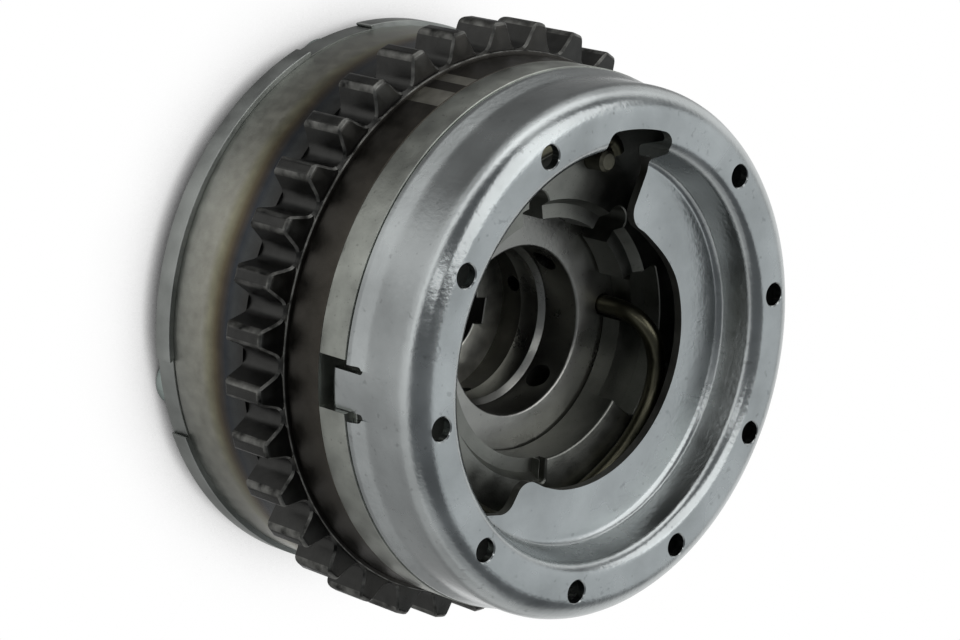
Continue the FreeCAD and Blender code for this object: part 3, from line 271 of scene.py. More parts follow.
def boolean(obj, tool, kind="DIFFERENCE"):
    """Cuts the tool out of the object, or joins it on, and deletes the tool."""
    mod = obj.modifiers.new("cut", "BOOLEAN")
    mod.operation = kind
    mod.solver = "MANIFOLD"
    mod.object = tool
    graph = bpy.context.evaluated_depsgraph_get()
    mesh = bpy.data.meshes.new_from_object(obj.evaluated_get(graph))
    obj.modifiers.clear()
    old = obj.data
    if len(mesh.polygons) < 3:
        raise RuntimeError("boolean left nothing of " + obj.name)
    mesh.name = obj.name
    obj.data = mesh
    bpy.data.meshes.remove(old)
    data = tool.data
    bpy.data.objects.remove(tool)
    bpy.data.meshes.remove(data)


def drill(obj, centre, radius, low, high, places=None, bevel=0.0, sides=32):
    """Cuts a round hole along the axis, once or at each place."""
    boolean(obj, cutter(circle_points(*centre, radius, sides), low, high, bevel, places))


def smooth(obj, degrees=28):
    mesh = obj.data
    mesh.polygons.foreach_set("use_smooth", [True] * len(mesh.polygons))
    mesh.set_sharp_from_angle(angle=math.radians(degrees))
    mesh.update()


def blend(share):
    share = min(1, max(0, share))
    return share * share * (3 - 2 * share)


# The pieces

def cut_opening(obj, flange):
    """The wheel's open half: round the floor's edge, its two lobes and the window beside it."""
    edge, window = 24.5, 39.1
    rear_end, front_end = -130.3, 57.0
    low, high = 54.0, 68.0
    loop = rounded([
        polar_corner(36.3, -145), polar_corner(31.0, rear_end, 3.2),
        polar_corner(24.15, rear_end, 3.0), polar_corner(24.3, -118)], 10)
    loop += [polar(edge - 0.2 * blend((-106 - turn) / 12), turn) for turn in range(-116, 8, 2)]
    loop += [polar(edge - 1.2 * blend((turn - 10) / 32), turn) for turn in range(8, 46, 2)]
    loop += rounded([
        polar_corner(23.3, 46), polar_corner(23.3, front_end, 3.4),
        polar_corner(33.8, front_end, 3.0), polar_corner(36.5, 64.0, 1.2),
        polar_corner(window, 64.8, 2.6), polar_corner(window, 70)], 10)
    loop += arc_points(window, 71, 83)
    loop += rounded([
        polar_corner(window, 84), polar_corner(window, 88.2, 2.2), polar_corner(flange, 88.4, 0.5),
        polar_corner(flange, 92)], 8)[1:]
    loop += arc_points(flange, 93, 215)
    boolean(obj, cutter(loop, low, high))


def add_tab(obj, skirt, sheet):
    """The wheel's locating tab, between two cuts with round ends."""
    tab_half, gap_half, end_radius = 4.15, 0.85, 0.7
    foot, root, gap_low, gap_high, flare_low, flare_high = 45.8, 54.0, 49.0, 52.6, 52.0, 56.0
    inside, outside = 43.0, 49.0
    low, high = TAB_TURN - tab_half, TAB_TURN + tab_half
    gaps = sector(inside, outside, low - 2 * gap_half, high + 2 * gap_half)
    boolean(obj, cutter(gaps, gap_low, gap_high))
    boolean(obj, cutter(sector(skirt, outside, low - 1, high + 1), flare_low, flare_high))
    for turn in (low - gap_half, high + gap_half):
        drill(obj, (0, 0), end_radius, inside, outside, [lying(turn, gap_high)], sides=20)
    profile = rounded([
        (skirt, foot, 1.1), (skirt, root), (skirt - sheet, root), (skirt - sheet, foot, 0.2)])
    boolean(obj, ring("cutter", profile, 24, low, high), "UNION")


def make_pulse_wheel():
    sheet = 1.6
    back = WHEEL_FRONT - sheet
    skirt, flare, foot = 46.3, 47.3, 50.25
    flange, dish, inside, floor = 36.1, 34.2, 22.0, 58.2
    profile = rounded([
        (flare, foot, 0.3), (flare, foot + 1.0, 2.0), (skirt, foot + 4.2, 6.0),
        (skirt, WHEEL_FRONT, 4.6), (flange, WHEEL_FRONT, 2.8), (dish, floor, 1.5),
        (inside, floor), (inside, floor - sheet), (dish + sheet, floor - sheet, 2.6),
        (flange + sheet, back, 1.0), (skirt - sheet, back, 3.0), (skirt - sheet, foot + 4.0, 5.0),
        (flare - sheet, foot + 0.6, 1.2), (flare - sheet, foot)], 8)
    obj = ring("pulse_wheel_skin", profile)
    cut_opening(obj, flange)
    hole_circle, hole_radius, hole_low = 40.5, 2.05, 62.0
    hole_count, hole_turn, hole_step = 9, 108.0, 36.0
    holes = spun(hole_count, hole_turn, hole_step)
    drill(obj, (hole_circle, 0), hole_radius, hole_low, WHEEL_FRONT, holes, 0.2)
    add_tab(obj, skirt, sheet)
    smooth(obj)
    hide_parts("pulse_wheel")
    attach(obj, "housing")
    return obj


def make_front_cover():
    bore, ring_inside, ring_outside, ring_front = 21.15, 42.6, 45.6, 51.1
    ledge, ledge_reach, slope_reach, ledge_start, ledge_end = 48.35, 23.6, 25.0, 14.0, 258.0
    pocket, pocket_reach, pocket_start = 46.5, 27.5, -47.0
    leg_level, leg_reach, leg_start = 48.0, 24.0, -8.8
    slot_reach, slot_half, split_half, split_turn = 24.7, 2.3, 0.7, -99.3
    notch_inside, notch_outside, notch_start, notch_end = 42.0, 49.0, 167.5, 178.5
    notch_low, notch_high = 44.1, 54.0
    screw_hole, screw_end, stud_hole, stud_foot = 2.52, 48.8, 1.92, 44.8
    profile = rounded([
        (bore, CHAMBER_TOP + 0.5), (bore + 0.5, CHAMBER_TOP), (SPIGOT, CHAMBER_TOP, 0.3),
        (SPIGOT, RIM_LEVEL), (RIM, RIM_LEVEL, 0.1), (RIM, COVER_FRONT, 0.12),
        (ring_outside, COVER_FRONT), (ring_outside, ring_front, 0.2),
        (ring_inside, ring_front, 0.2), (ring_inside, COVER_FRONT),
        (bore, COVER_FRONT, 0.4)], 4)
    obj = ring("front_cover_skin", profile)
    inside, above, through = 20.0, COVER_FRONT + 0.5, CHAMBER_TOP - PAST
    slope = [(inside, ledge), (ledge_reach, ledge), (slope_reach, above), (inside, above)]
    boolean(obj, ring("cutter", slope, 244, ledge_start, ledge_end))
    inside -= PAST
    loop = sector(inside, pocket_reach, pocket_start, ledge_start, 0, 1.0)
    boolean(obj, cutter(loop, pocket, COVER_FRONT, 0.15))
    loop = sector(inside, leg_reach, leg_start, ledge_start, 0, 1.0)
    boolean(obj, cutter(loop, through, leg_level))
    loop = slot_points(inside, slot_reach, slot_half, 16)
    for turn in (43.75, 91.5):
        boolean(obj, cutter(loop, through, COVER_FRONT, 0.2, spun(1, turn)))
    loop = slot_points(inside, slot_reach, split_half, 12)
    boolean(obj, cutter(loop, ledge, COVER_FRONT, 0.3, spun(1, split_turn)))
    loop = sector(notch_inside, notch_outside, notch_start, notch_end)
    boolean(obj, cutter(loop, notch_low, notch_high))
    screws, stud = spun(SCREWS, SCREW_TURN), spun(1, STUD_TURN)
    drill(obj, (SCREW_CIRCLE, 0), screw_hole, RIM_LEVEL - PAST, screw_end, screws)
    drill(obj, (STUD_CIRCLE, 0), stud_hole, stud_foot, COVER_FRONT, stud, 0.1, 28)
    smooth(obj)
    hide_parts("front_cover")
    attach(obj, "housing")
    return obj


def tooth_gap():
    """The gap between two teeth: a round root, straight flanks and rounded tips."""
    flank, root, circle = math.radians(26.0), 2.1, 50.54
    tip_radius, tip_bend, tip_half, cutter_reach, cutter_spread = 53.0, 1.0, 0.8, 54.6, 0.35
    half = [(circle + root * math.cos(a), root * math.sin(a))
            for a in [math.pi - k * (math.pi / 2 - flank) / 8 for k in range(9)]]
    start = Vector(half[-1])
    outwards = Vector((math.cos(flank), math.sin(flank)))
    tip = start + outwards * ((tip_radius - start.x) / outwards.x)
    first, last = tip - outwards * tip_bend, tip + Vector((0, tip_half))
    for k in range(6):
        t = k / 5
        q = first * (1 - t) ** 2 + tip * (2 * t * (1 - t)) + last * t ** 2
        half.append((q.x, q.y))
    half.append((cutter_reach, last.y + cutter_spread))
    return [(x, -y) for x, y in half[:0:-1]] + half


def make_housing():
    bore, behind, shoulder, shoulder_level, tips = HUB + 0.06, 48.9, 48.3, 36.3, 53.2
    chamber_inside, chamber_start, chamber_end = 25.0, 6.6, 43.0
    first_tooth, dowel_end = 8.1, 13.5
    profile = rounded([
        (bore, CHAMBER_LEVEL), (CHAMBER, CHAMBER_LEVEL), (CHAMBER, COVER_LEVEL),
        (behind, COVER_LEVEL, 0.3), (behind, TEETH_LOW), (tips, TEETH_LOW, 1.0),
        (tips, TEETH_HIGH, 1.0), (shoulder, TEETH_HIGH), (shoulder, shoulder_level, 0.3),
        (RIM, shoulder_level), (RIM, RIM_LEVEL, 0.3), (CHAMBER, RIM_LEVEL), (CHAMBER, CHAMBER_TOP),
        (bore, CHAMBER_TOP)], 4)
    obj = ring("sprocket_housing_skin", profile, TOOTH_COUNT * 10)
    gaps = spun(TOOTH_COUNT, first_tooth + 180 / TOOTH_COUNT)
    boolean(obj, cutter(tooth_gap(), TEETH_LOW, TEETH_HIGH, 0.4, gaps))
    chamber = sector(chamber_inside, CHAMBER, chamber_start, chamber_end, 0, 1.0)
    low, high = CHAMBER_LEVEL - PAST, CHAMBER_TOP + PAST
    boolean(obj, cutter(chamber, low, high, 0, spun(VANES, 0)))
    low, high = COVER_LEVEL - PAST, RIM_LEVEL + PAST
    drill(obj, (SCREW_CIRCLE, 0), SCREW_HOLE, low, high, spun(SCREWS, SCREW_TURN))
    drill(obj, (SCREW_CIRCLE, 0), PIN_HOLE, low, dowel_end, spun(DOWELS, DOWEL_TURN), sides=28)
    smooth(obj)
    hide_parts("sprocket_housing")
    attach(obj, "housing")
    return obj


def make_rear_cover():
    bore, edge = 23.0, 49.8
    scallop_inside, scallop_outside, scallop_half = 49.1, 52.0, 9.5
    dowel_foot, bush_foot, bush_radius = 5.5, 7.0, 4.52
    profile = rounded([
        (bore, REAR_LEVEL), (edge, REAR_LEVEL, 0.5), (edge, COVER_LEVEL, 0.15),
        (SPIGOT, COVER_LEVEL), (SPIGOT, CHAMBER_LEVEL, 0.2), (bore, CHAMBER_LEVEL)], 4)
    obj = ring("rear_cover_skin", profile)
    low, high = REAR_LEVEL - PAST, COVER_LEVEL + PAST
    screws, dowels = spun(SCREWS, SCREW_TURN), spun(DOWELS, DOWEL_TURN)
    scallop = sector(scallop_inside, scallop_outside, -scallop_half, scallop_half, 0.5, 0)
    boolean(obj, cutter(scallop, low, high, 0, screws))
    drill(obj, (SCREW_CIRCLE, 0), SCREW_HOLE, low, high, screws)
    drill(obj, (SCREW_CIRCLE, 0), PIN_HOLE, dowel_foot, high, dowels, sides=28)
    bush = polar(LOCK_CIRCLE, LOCK_TURN)
    drill(obj, bush, bush_radius, bush_foot, CHAMBER_LEVEL + PAST, sides=40)
    smooth(obj)
    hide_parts("rear_cover")
    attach(obj, "housing")
    return obj


def make_rotor():
    seat, journal, bolt, groove, land, valve = 15.0, 22.94, 8.8, 15.3, 13.9, 14.9
    rear, seat_end, wall, groove_end, land_end, valve_end = 4.5, 16.5, 22.8, 28.8, 33.2, 34.1
    vane_reach, vane_start, vane_end = 38.2, 6.8, 30.8
    seal_foot, seal_reach, seal_half = 35.4, 40.0, 1.2
    port_inside, port_outside = 12.0, 29.0
    feed_foot, feed_reach, feed_half, feed_turn = 7.0, 10.8, 2.3, -17.0
    pin_circle, pin_turn, pin_end = 12.2, 142.0, 20.5
    leg_radius, leg_end, lock_radius, cap_radius, cap_level = 1.8, 36.5, 2.85, 3.62, 39.95
    profile = rounded([
        (seat, rear, 0.3), (journal, rear, 0.4), (journal, ROTOR_REAR), (HUB, ROTOR_REAR, 0.2),
        (HUB, ROTOR_FRONT, 0.2), (valve, ROTOR_FRONT, 0.45), (valve, valve_end),
        (land, land_end, 0.15), (land, groove_end, 0.2), (groove, groove_end), (groove, wall),
        (bolt, wall, 0.3), (bolt, seat_end, 0.3), (seat, seat_end)], 4)
    obj = ring("rotor_skin", profile, 288)
    vane = sector(HUB - PAST, vane_reach, vane_start, vane_end, 0, 0.4)
    boolean(obj, cutter(vane, ROTOR_REAR, ROTOR_FRONT, 0, spun(VANES, 0)), "UNION")
    low, high = CHAMBER_LEVEL - PAST, CHAMBER_TOP + PAST
    seal_slot = rectangle_points(seal_foot, seal_reach, seal_half)
    boolean(obj, cutter(seal_slot, low, high, 0, spun(VANES, VANE_TURN)))
    for port_radius, level, turn in ((2.4, 37.4, 36.0), (1.5, 25.8, 4.8)):
        ports = [lying(turn + 90 * k, level) for k in range(VANES)]
        drill(obj, (0, 0), port_radius, port_inside, port_outside, ports)
    behind = seat_end - 1.5
    feed = rectangle_points(feed_foot, feed_reach, feed_half)
    boolean(obj, cutter(feed, behind, wall, 0.15, spun(1, feed_turn)))
    leg, lock = polar(LEG_CIRCLE, LEG_TURN), polar(LOCK_CIRCLE, LOCK_TURN)
    drill(obj, leg, leg_radius, leg_end, ROTOR_FRONT, bevel=0.2, sides=28)
    drill(obj, polar(pin_circle, pin_turn), PIN_HOLE, behind, pin_end, sides=28)
    drill(obj, lock, lock_radius, low, high)
    drill(obj, lock, cap_radius, cap_level, high)
    smooth(obj)
    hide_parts("rotor")
    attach(obj, "rotor")
    return obj


def spring_path():
    """The middle line of the return spring: its leg, bend, coil and hook."""
    level, leg_foot, bend_foot = 52.05, 37.0, 45.0
    inner, lead, outer, reach = 24.9, 28.4, 32.5, 3.7
    coil_turn, lead_fade, out_turn, out_sweep, hook_sweep = -18.0, 11, -65, 65, 60

    def at(r, d, z=level):
        return Vector((*polar(r, d), z))
    pts = [at(LEG_CIRCLE, LEG_TURN, z) for z in (leg_foot, (leg_foot + bend_foot) / 2)]
    for k in range(6):
        f = math.radians(15 * k)
        h = 1 - math.cos(f)
        pts.append(at(LEG_CIRCLE + (inner - LEG_CIRCLE) * h, LEG_TURN + (coil_turn - LEG_TURN) * h,
                      bend_foot + (level - bend_foot) * math.sin(f)))
    last, steps = STUD_TURN - 360 + 6, 40
    for k in range(steps):
        d = coil_turn + (last - coil_turn) * k / steps
        r = inner + (lead - inner) * (1 - math.exp((d - coil_turn) / lead_fade))
        r += (outer - lead) * blend((out_turn - d) / out_sweep)
        r += (STUD_CIRCLE + reach - outer) * blend((last + hook_sweep - d) / hook_sweep)
        pts.append(at(r, d))
    stud = at(STUD_CIRCLE, STUD_TURN)
    for lean in (0, -20, -40, -60):
        pts.append(stud + Vector((*polar(1, STUD_TURN + lean), 0)) * reach)
    return pts


def curve_through(pts, steps=6):
    """Points along a smooth curve through the given ones."""
    dense = []
    for i in range(len(pts) - 1):
        p0, p1, p2, p3 = pts[max(i - 1, 0)], pts[i], pts[i + 1], pts[min(i + 2, len(pts) - 1)]
        for k in range(steps):
            t = k / steps
            dense.append(0.5 * ((2 * p1) + (p2 - p0) * t + (2 * p0 - 5 * p1 + 4 * p2 - p3) * t ** 2
                                + (3 * p1 - p0 - 3 * p2 + p3) * t ** 3))
    dense.append(pts[-1])
    return dense


def make_spring():
    """Round wire along a smooth path, with its ends square."""
    wire, n = 1.7, 24
    path = curve_through(spring_path())
    verts, faces = [], []
    side = Vector((1, 0, 0))
    for i, p in enumerate(path):
        along = (path[min(i + 1, len(path) - 1)] - path[max(i - 1, 0)]).normalized()
        side = (side - along * side.dot(along)).normalized()
        other = along.cross(side)
        for k in range(n):
            a = TURN * k / n
            verts.append(tuple(p + (side * math.cos(a) + other * math.sin(a)) * wire))
    for i in range(len(path) - 1):
        for k in range(n):
            q = (k + 1) % n
            faces.append((i * n + k, i * n + q, (i + 1) * n + q, (i + 1) * n + k))
    faces.append(tuple(range(n)))
    faces.append(tuple(range((len(path) - 1) * n, len(path) * n)))
    obj = new_object("return_spring_skin", verts, faces)
    smooth(obj, 50)
    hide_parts("return_spring")
    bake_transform(obj)
    return obj


def make_lock_spring():
    """The lock pin's spring, copied from its solid and carried by the rotor. The real spring
    shortens against its cap as the pin slides in; this copy keeps its length.
    """
    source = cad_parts["lock_pin_spring"]
    obj = bpy.data.objects.new("lock_pin_spring_skin", source.data.copy())
    scene.collection.objects.link(obj)
    obj.matrix_world = source.matrix_world
    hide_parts("lock_pin_spring")
    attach(obj, "rotor")
    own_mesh(obj)
    return obj


wheel = make_pulse_wheel()
cover = make_front_cover()
housing = make_housing()
rear = make_rear_cover()
rotor = make_rotor()
spring = make_spring()
lock_spring = make_lock_spring()


# Shader nodes

def add(tree, kind, feeds, **settings):
    """A node with these settings. Each input is fed a value or another node's output."""
    node = tree.nodes.new(kind)
    for key, value in settings.items():
        setattr(node, key, value)
    for key, value in feeds.items():
        if isinstance(value, bpy.types.NodeSocket):
            tree.links.new(value, node.inputs[key])
        else:
            node.inputs[key].default_value = value
    return node


def link_noise(tree, vector, size, detail):
    feeds = {"Scale": size, "Detail": detail, "Vector": vector}
    return add(tree, "ShaderNodeTexNoise", feeds).outputs["Fac"]


def link_range(tree, value, low, high, to_low=0.0, to_high=1.0, curve="LINEAR"):
    """Goes from one result to the other while the value goes from low to high."""
    feeds = {"Value": value, "From Min": low, "From Max": high, "To Min": to_low, "To Max": to_high}
    return add(tree, "ShaderNodeMapRange", feeds, interpolation_type=curve).outputs["Result"]


def link_rise(tree, height, low, high):
    """0 below one height and 1 above the other, with a soft passage."""
    return link_range(tree, height, low, high, curve="SMOOTHSTEP")


def link_blend(tree, share, first, second, kind="MIX"):
    feeds = {"Factor": share, "A": first, "B": second}
    return add(tree, "ShaderNodeMix", feeds, data_type="RGBA", blend_type=kind).outputs["Result"]


def link_ramp(tree, share, stops, curve="LINEAR"):
    """A colour for each share from 0 to 1, from stops of (share, colour)."""
    node = add(tree, "ShaderNodeValToRGB", {"Fac": share})
    node.color_ramp.interpolation = curve
    elements = node.color_ramp.elements
    elements.remove(elements[1])
    for k, (where, colour) in enumerate(stops):
        item = elements[0] if k == 0 else elements.new(where)
        item.position = where
        item.color = (*colour, 1)
    return node.outputs["Color"]


# Materials

def material(name, colour, rough, scale, metal=1.0, mottle=0.12, grain=0.05, turned=0.0,
             spots=0.0):
    """Metal with soft mottling, a fine grain, lathe marks round the axis and dark specks."""
    cloud_low, cloud_high, speck_low, speck_high = 0.3, 0.7, 0.66, 0.72
    speck_finer, grain_finer, lathe_scale = 9, 14, 2600
    grain_depth, lathe_depth = 0.3 * MM, 0.1 * MM
    dark, light, speck_shade = 1 - mottle * 1.5, 1 + mottle, 0.35
    smoothest, roughest = rough - 0.06, rough + 0.07
    mat = bpy.data.materials.new(name)
    mat.use_nodes = True
    tree = mat.node_tree
    bsdf = tree.nodes["Principled BSDF"]
    bsdf.inputs["Metallic"].default_value = metal
    place = tree.nodes.new("ShaderNodeTexCoord").outputs["Object"]
    cloud = link_noise(tree, place, scale, 6)
    base = link_blend(tree, link_range(tree, cloud, cloud_low, cloud_high),
                      (*[c * dark for c in colour], 1), (*[min(1, c * light) for c in colour], 1))
    if spots:
        speck = link_noise(tree, place, scale * speck_finer, 2)
        speck = link_range(tree, speck, speck_low, speck_high, 0, spots)
        base = link_blend(tree, speck, base, (*[c * speck_shade for c in colour], 1))
    tree.links.new(base, bsdf.inputs["Base Color"])
    sheen = link_range(tree, cloud, cloud_low, cloud_high, smoothest, roughest)
    tree.links.new(sheen, bsdf.inputs["Roughness"])
    height = link_noise(tree, place, scale * grain_finer, 3)
    feeds = {"Strength": grain, "Distance": grain_depth, "Height": height}
    normal = add(tree, "ShaderNodeBump", feeds).outputs["Normal"]
    if turned:
        level = add(tree, "ShaderNodeSeparateXYZ", {"Vector": place}).outputs["Z"]
        flat = add(tree, "ShaderNodeVectorMath", {0: place, 1: (1, 1, 0)}, operation="MULTIPLY")
        radius = add(tree, "ShaderNodeVectorMath", {0: flat.outputs["Vector"]}, operation="LENGTH")
        lathe = add(tree, "ShaderNodeCombineXYZ", {"X": radius.outputs["Value"], "Z": level})
        height = link_noise(tree, lathe.outputs["Vector"], lathe_scale, 2)
        feeds = {"Strength": turned, "Distance": lathe_depth, "Height": height, "Normal": normal}
        normal = add(tree, "ShaderNodeBump", feeds).outputs["Normal"]
    tree.links.new(normal, bsdf.inputs["Normal"])
    return mat


SURFACE = {
    "wheel": material("wheel steel", (0.44, 0.465, 0.465), 0.25, 75, mottle=0.15, grain=0.13,
                      turned=0.04, spots=0.3),
    "sheared": material("sheared edge", (0.16, 0.16, 0.15), 0.45, 300, grain=0.2),
    "ring": material("register ring", (0.38, 0.395, 0.36), 0.36, 150, mottle=0.22, grain=0.12,
                     turned=0.06, spots=0.4),
    "ground": material("ground patch", (0.33, 0.32, 0.28), 0.34, 260, mottle=0.25, grain=0.1,
                       turned=0.06),
    "stud": material("dull stud", (0.16, 0.155, 0.12), 0.5, 300, mottle=0.3, grain=0.2),
    "cover": material("cover steel", (0.22, 0.225, 0.205), 0.38, 240, mottle=0.12, grain=0.14,
                      turned=0.06, spots=0.4),
    "housing": material("housing steel", (0.9, 0.9, 0.9), 0.34, 420, mottle=0.12, grain=0.16,
                        turned=0.12, spots=0.3),
    # Worn steel on the teeth's bevels and tips, and a painted highlight on the shoulder's edge.
    "worn_or_highlight": material("worn tooth edge and painted highlight", (0.13, 0.13, 0.122), 0.38, 420, mottle=0.6, grain=0.2),
    "rear": material("rear cover steel", (0.33, 0.345, 0.33), 0.42, 160, mottle=0.15, grain=0.1,
                     turned=0.05),
    "rotor": material("rotor steel", (0.33, 0.33, 0.31), 0.30, 130, mottle=0.16, grain=0.08,
                      turned=0.06, spots=0.4),
    # Painted light: the rotor's steel made much lighter for the face of the wall across its bore.
    "lit_web": material("web painted light", (0.80, 0.80, 0.73), 0.38, 200, mottle=0.25, grain=0.12,
                    turned=0.08),
    # Painted shade: a near-black steel for the groove wall in the rotor's bore.
    "groove_shade": material("groove painted shade", (0.05, 0.048, 0.042), 0.35, 200, mottle=0.2),
    "spring": material("spring steel", (0.12, 0.115, 0.08), 0.32, 200, mottle=0.2, grain=0.1),
    "zinc": material("zinc plate", (0.52, 0.60, 0.57), 0.4, 200, mottle=0.1, grain=0.1),
    "bright": material("bright steel", (0.5, 0.5, 0.47), 0.3, 200, mottle=0.1),
    "seal": material("seal plastic", (0.04, 0.035, 0.03), 0.5, 200, metal=0.0),
}


def grade_housing(mat):
    """Heat tint: grey steel turns straw, brown and blue-black towards the teeth."""
    foot, front, drift, wave_scale = 8.0, 45.0, 2.2, 45
    stops = [(8.0, (0.40, 0.41, 0.375)), (15.5, (0.40, 0.395, 0.34)), (17.2, (0.32, 0.31, 0.22)),
             (19.0, (0.16, 0.135, 0.085)), (20.2, (0.085, 0.07, 0.055)),
             (21.8, (0.05, 0.056, 0.065)), (23.4, (0.07, 0.075, 0.076)),
             (26.0, (0.06, 0.06, 0.058)), (35.3, (0.06, 0.06, 0.057)),
             (36.0, (0.05, 0.047, 0.042)), (45.0, (0.068, 0.062, 0.052))]
    tree = mat.node_tree
    base = tree.nodes["Principled BSDF"].inputs["Base Color"]
    place = tree.nodes.new("ShaderNodeTexCoord").outputs["Object"]
    height = add(tree, "ShaderNodeSeparateXYZ", {"Vector": place}).outputs["Z"]
    wave = link_noise(tree, place, wave_scale, 2)
    feeds = {0: wave, 1: drift * MM, 2: height}
    height = add(tree, "ShaderNodeMath", feeds, operation="MULTIPLY_ADD").outputs["Value"]
    low, high = (foot + drift / 2) * MM, (front + drift / 2) * MM
    share = link_range(tree, height, low, high)
    tint = link_ramp(tree, share, [((z - foot) / (front - foot), colour) for z, colour in stops])
    tinted = link_blend(tree, 1.0, tint, base.links[0].from_socket, "MULTIPLY")
    tree.links.new(tinted, base)


def dress(obj, mat):
    obj.data.materials.clear()
    obj.data.materials.append(mat)


def wear(obj, mat, wanted):
    """Gives the faces that wanted(centre, normal) picks, in mm, a material of their own."""
    obj.data.materials.append(mat)
    index = len(obj.data.materials) - 1
    for face in obj.data.polygons:
        if wanted(face.center / MM, face.normal):
            face.material_index = index


def off_axis(v):
    return math.hypot(v.x, v.y)


def is_worn_or_highlit(centre, normal):
    """The shoulder's rounded edge, which the lighter steel marks as a painted highlight, and the
    worn bevels and rounded tips of the teeth.
    """
    shoulder, shoulder_low, shoulder_high = 47.8, 35.9, 36.29
    roots, tips, teeth_from, teeth_to = 48.6, 52.2, 26.0, 36.0
    upright, flat, facing_out = 0.25, 0.95, 0.93
    r, tilt = off_axis(centre), abs(normal.z)
    # The shoulder's edge: a painted highlight, not wear.
    if r > shoulder and shoulder_low < centre.z < shoulder_high and 0.1 < normal.z < 0.98:
        return True
    if r < roots or not teeth_from < centre.z < teeth_to:
        return False
    outwards = (normal.x * centre.x + normal.y * centre.y) / r
    on_tip = r > tips and tilt < upright and off_axis(normal) > 0.9 and outwards < facing_out
    return upright < tilt < flat or on_tip


def is_ground(centre, normal):
    """Two patches on the dark band, bright where something was ground away."""
    outside, band_low, band_high, patches = 48.6, 35.8, 43.9, ((98, 102), (104.4, 110))
    if off_axis(centre) >= outside or not band_low < centre.z < band_high or abs(normal.z) >= 0.1:
        return False
    turn = math.degrees(math.atan2(centre.y, centre.x))
    return any(start < turn < end for start, end in patches)


def is_ring_outside(centre, normal):
    """The front cover's outside, from the outer wall of its raised ring to the rim."""
    ring_middle = 44.5
    return off_axis(centre) > ring_middle


def is_painted_lit_web(centre, normal):
    """The front face of the wall across the rotor's bore, given a much lighter copy of the rotor
    steel as painted light.
    """
    outside, low, high = 15.2, 22.5, 22.9
    return off_axis(centre) < outside and low < centre.z < high and normal.z > 0.9


def is_painted_shade_groove(centre, normal):
    """The wall of the groove in the rotor's bore, coloured near-black as painted shade."""
    inside, outside, low, high = 15.1, 15.6, 22.9, 28.8
    return inside < off_axis(centre) < outside and low < centre.z < high


def is_sheared(centre, normal):
    """The cut edge of the wheel's opening."""
    outside, high = 35.5, 65.6
    return abs(normal.z) < 0.1 and off_axis(centre) < outside and centre.z < high


grade_housing(SURFACE["housing"])
dress(wheel, SURFACE["wheel"])
dress(cover, SURFACE["cover"])
dress(housing, SURFACE["housing"])
dress(rear, SURFACE["rear"])
dress(rotor, SURFACE["rotor"])
dress(spring, SURFACE["spring"])
dress(lock_spring, SURFACE["spring"])
# Worn teeth edges, and the painted highlight on the shoulder's edge.
wear(housing, SURFACE["worn_or_highlight"], is_worn_or_highlit)
wear(housing, SURFACE["ground"], is_ground)
wear(cover, SURFACE["ring"], is_ring_outside)
wear(wheel, SURFACE["sheared"], is_sheared)
# The web face in the rotor's bore gets its painted light.
wear(rotor, SURFACE["lit_web"], is_painted_lit_web)
# The groove wall in the rotor's bore gets its painted shade.
wear(rotor, SURFACE["groove_shade"], is_painted_shade_groove)

# The solids' surfaces, by how their names begin. The others are bright steel.
SOLID_SURFACE = [
    ("cover_screws", "zinc"), ("spring_stud", "stud"), ("vane_seal_spring", "spring"),
    ("vane_seal", "seal"), ("lock_pin_spring", "spring"), ("return_spring", "spring"),
    ("rotor", "rotor"), ("front_cover", "cover"), ("rear_cover", "cover"),
    ("pulse_wheel", "wheel"), ("sprocket_housing", "housing")]
for name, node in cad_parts.items():
    key = next((key for start, key in SOLID_SURFACE if name.startswith(start)), "bright")
    dress(node, SURFACE[key])


# Camera, light, floor and backdrop

data = bpy.data.cameras.new("Camera")
data.sensor_width = 36.0
data.lens = 117.64
data.clip_start = 0.01
camera = bpy.data.objects.new("Camera", data)
scene.collection.objects.link(camera)
right = Vector((0.717431, -0.064239, 0.693661))
up = Vector((0.272421, 0.942317, -0.194490))
back = -Vector((0.641155, -0.328501, -0.693547))
place = Vector((-0.3534, 0.18119, 0.41502))
camera.matrix_world = Matrix((
    (right.x, up.x, back.x, place.x), (right.y, up.y, back.y, place.y),
    (right.z, up.z, back.z, place.z), (0, 0, 0, 1)))
scene.camera = camera


def area(name, position, size, radiance, colour=(1, 1, 1)):
    """A soft box placed in the camera's own directions: right, up and towards the camera."""
    lamp = bpy.data.lights.new(name, "AREA")
    lamp.shape = "RECTANGLE"
    lamp.size, lamp.size_y = size
    lamp.energy = radiance * math.pi * size[0] * size[1]
    lamp.color = colour
    obj = bpy.data.objects.new(name, lamp)
    scene.collection.objects.link(obj)
    aim = Vector((0, 0, 0.04))
    spot = aim + right * position[0] + up * position[1] + back * position[2]
    obj.location = spot
    obj.rotation_euler = (spot - aim).to_track_quat("Z", "Y").to_euler()


area("Front", (0.03, 0.15, 1.0), (0.10, 0.7), 2.6)
area("Right", (0.95, -0.15, -0.03), (0.8, 0.8), 0.62, (0.95, 0.98, 1.0))
area("Above", (0.79, 0.29, 0.53), (0.9, 0.9), 1.6)
area("Top", (0.25, 0.95, 0.2), (0.9, 0.6), 0.5)
area("Low", (0.1, -0.95, 0.2), (1.0, 0.5), 0.35)


def link_seen(tree):
    """1 for rays that see a backdrop: from the camera, off metal or through glass."""
    path = tree.nodes.new("ShaderNodeLightPath")
    seen = path.outputs["Is Camera Ray"]
    for kind in ("Is Glossy Ray", "Is Transmission Ray"):
        feeds = {0: seen, 1: path.outputs[kind]}
        seen = add(tree, "ShaderNodeMath", feeds, operation="MAXIMUM").outputs["Value"]
    return seen


def show(tree, unseen, seen, output):
    """Ends a node tree with one shader for the rays that see a backdrop and one for the rest."""
    mix = add(tree, "ShaderNodeMixShader", {"Fac": link_seen(tree), 1: unseen, 2: seen})
    add(tree, output, {"Surface": mix.outputs["Shader"]})


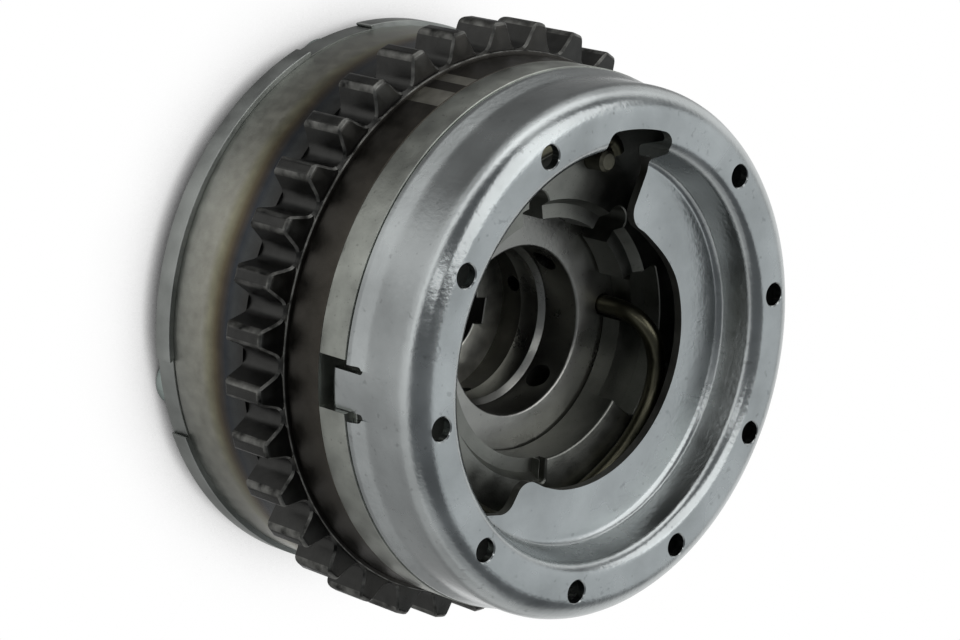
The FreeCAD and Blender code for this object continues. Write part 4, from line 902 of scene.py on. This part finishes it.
def make_floor():
    """A pale floor: it shows the backdrop's colour, and keeps the object's soft shadow."""
    half, shadow_reach, darkest, clear_from = 4.0, 0.05, 0.08, 0.72
    mesh = bpy.data.meshes.new("Floor")
    corners = [(-half, -half), (half, -half), (half, half), (-half, half)]
    mesh.from_pydata([(x, y, cad_low[2]) for x, y in corners], [], [(0, 1, 2, 3)])
    floor = bpy.data.objects.new("Floor", mesh)
    scene.collection.objects.link(floor)
    mat = bpy.data.materials.new("pale floor")
    mat.use_nodes = True
    tree = mat.node_tree
    tree.nodes.clear()
    shade = add(tree, "ShaderNodeAmbientOcclusion", {"Distance": shadow_reach}).outputs["AO"]
    shadow = link_rise(tree, shade, darkest, clear_from)
    clear = add(tree, "ShaderNodeBsdfTransparent", {"Color": shadow}).outputs["BSDF"]
    matt = add(tree, "ShaderNodeBsdfDiffuse", {"Color": (0.8, 0.8, 0.8, 1)}).outputs["BSDF"]
    show(tree, matt, clear, "ShaderNodeOutputMaterial")
    mesh.materials.append(mat)


def link_round(tree, vector, stops):
    """A brightness that changes with the compass direction, from stops of (degrees, value)."""
    turn = add(tree, "ShaderNodeTexGradient", {"Vector": vector}, gradient_type="RADIAL")
    shades = [(degrees / 360 + 0.5, (value, value, value)) for degrees, value in stops]
    return link_ramp(tree, turn.outputs["Fac"], shades, "EASE")


def make_world():
    """A studio: a white sweep behind the part, pale walls round it and a dim room overhead."""
    room = (0.145, 0.152, 0.16, 1)
    floor_end, horizon, wall_end = (-0.48, -0.28), (-0.08, 0.05), (0.12, 0.42)
    sweep = [(-180, 0.62), (-153, 0.50), (-110, 0.34), (-66, 0.40), (-56, 1.0), (-10, 1.0),
             (2, 0.30), (40, 0.20), (100, 0.22), (132, 0.85), (160, 0.62), (180, 0.62)]
    walls = [(-180, 1.0), (-153, 0.75), (-110, 0.5), (-73, 0.6), (-45, 1.0), (0, 1.0), (47, 1.3),
             (95, 1.7), (130, 1.5), (165, 1.3), (180, 1.0)]
    skirting = [(-180, 0.85), (-153, 0.7), (-110, 0.55), (-70, 0.8), (-45, 1.0), (0, 1.0),
                (47, 0.62), (95, 0.62), (130, 0.9), (180, 0.85)]
    world = bpy.data.worlds.new("World")
    scene.world = world
    world.use_nodes = True
    tree = world.node_tree
    tree.nodes.clear()
    look = tree.nodes.new("ShaderNodeTexCoord").outputs["Generated"]
    height = add(tree, "ShaderNodeSeparateXYZ", {"Vector": look}).outputs["Z"]
    below = link_blend(tree, link_rise(tree, height, *floor_end), link_round(tree, look, sweep),
                       link_round(tree, look, skirting))
    below = link_blend(tree, link_rise(tree, height, *horizon), below,
                       link_round(tree, look, walls))
    seen = link_blend(tree, link_rise(tree, height, *wall_end), below, room)
    backdrop = add(tree, "ShaderNodeBackground", {"Color": seen}).outputs["Background"]
    dim = add(tree, "ShaderNodeBackground", {"Color": room}).outputs["Background"]
    show(tree, dim, backdrop, "ShaderNodeOutputWorld")


make_floor()
make_world()
scene.view_settings.view_transform = "Standard"
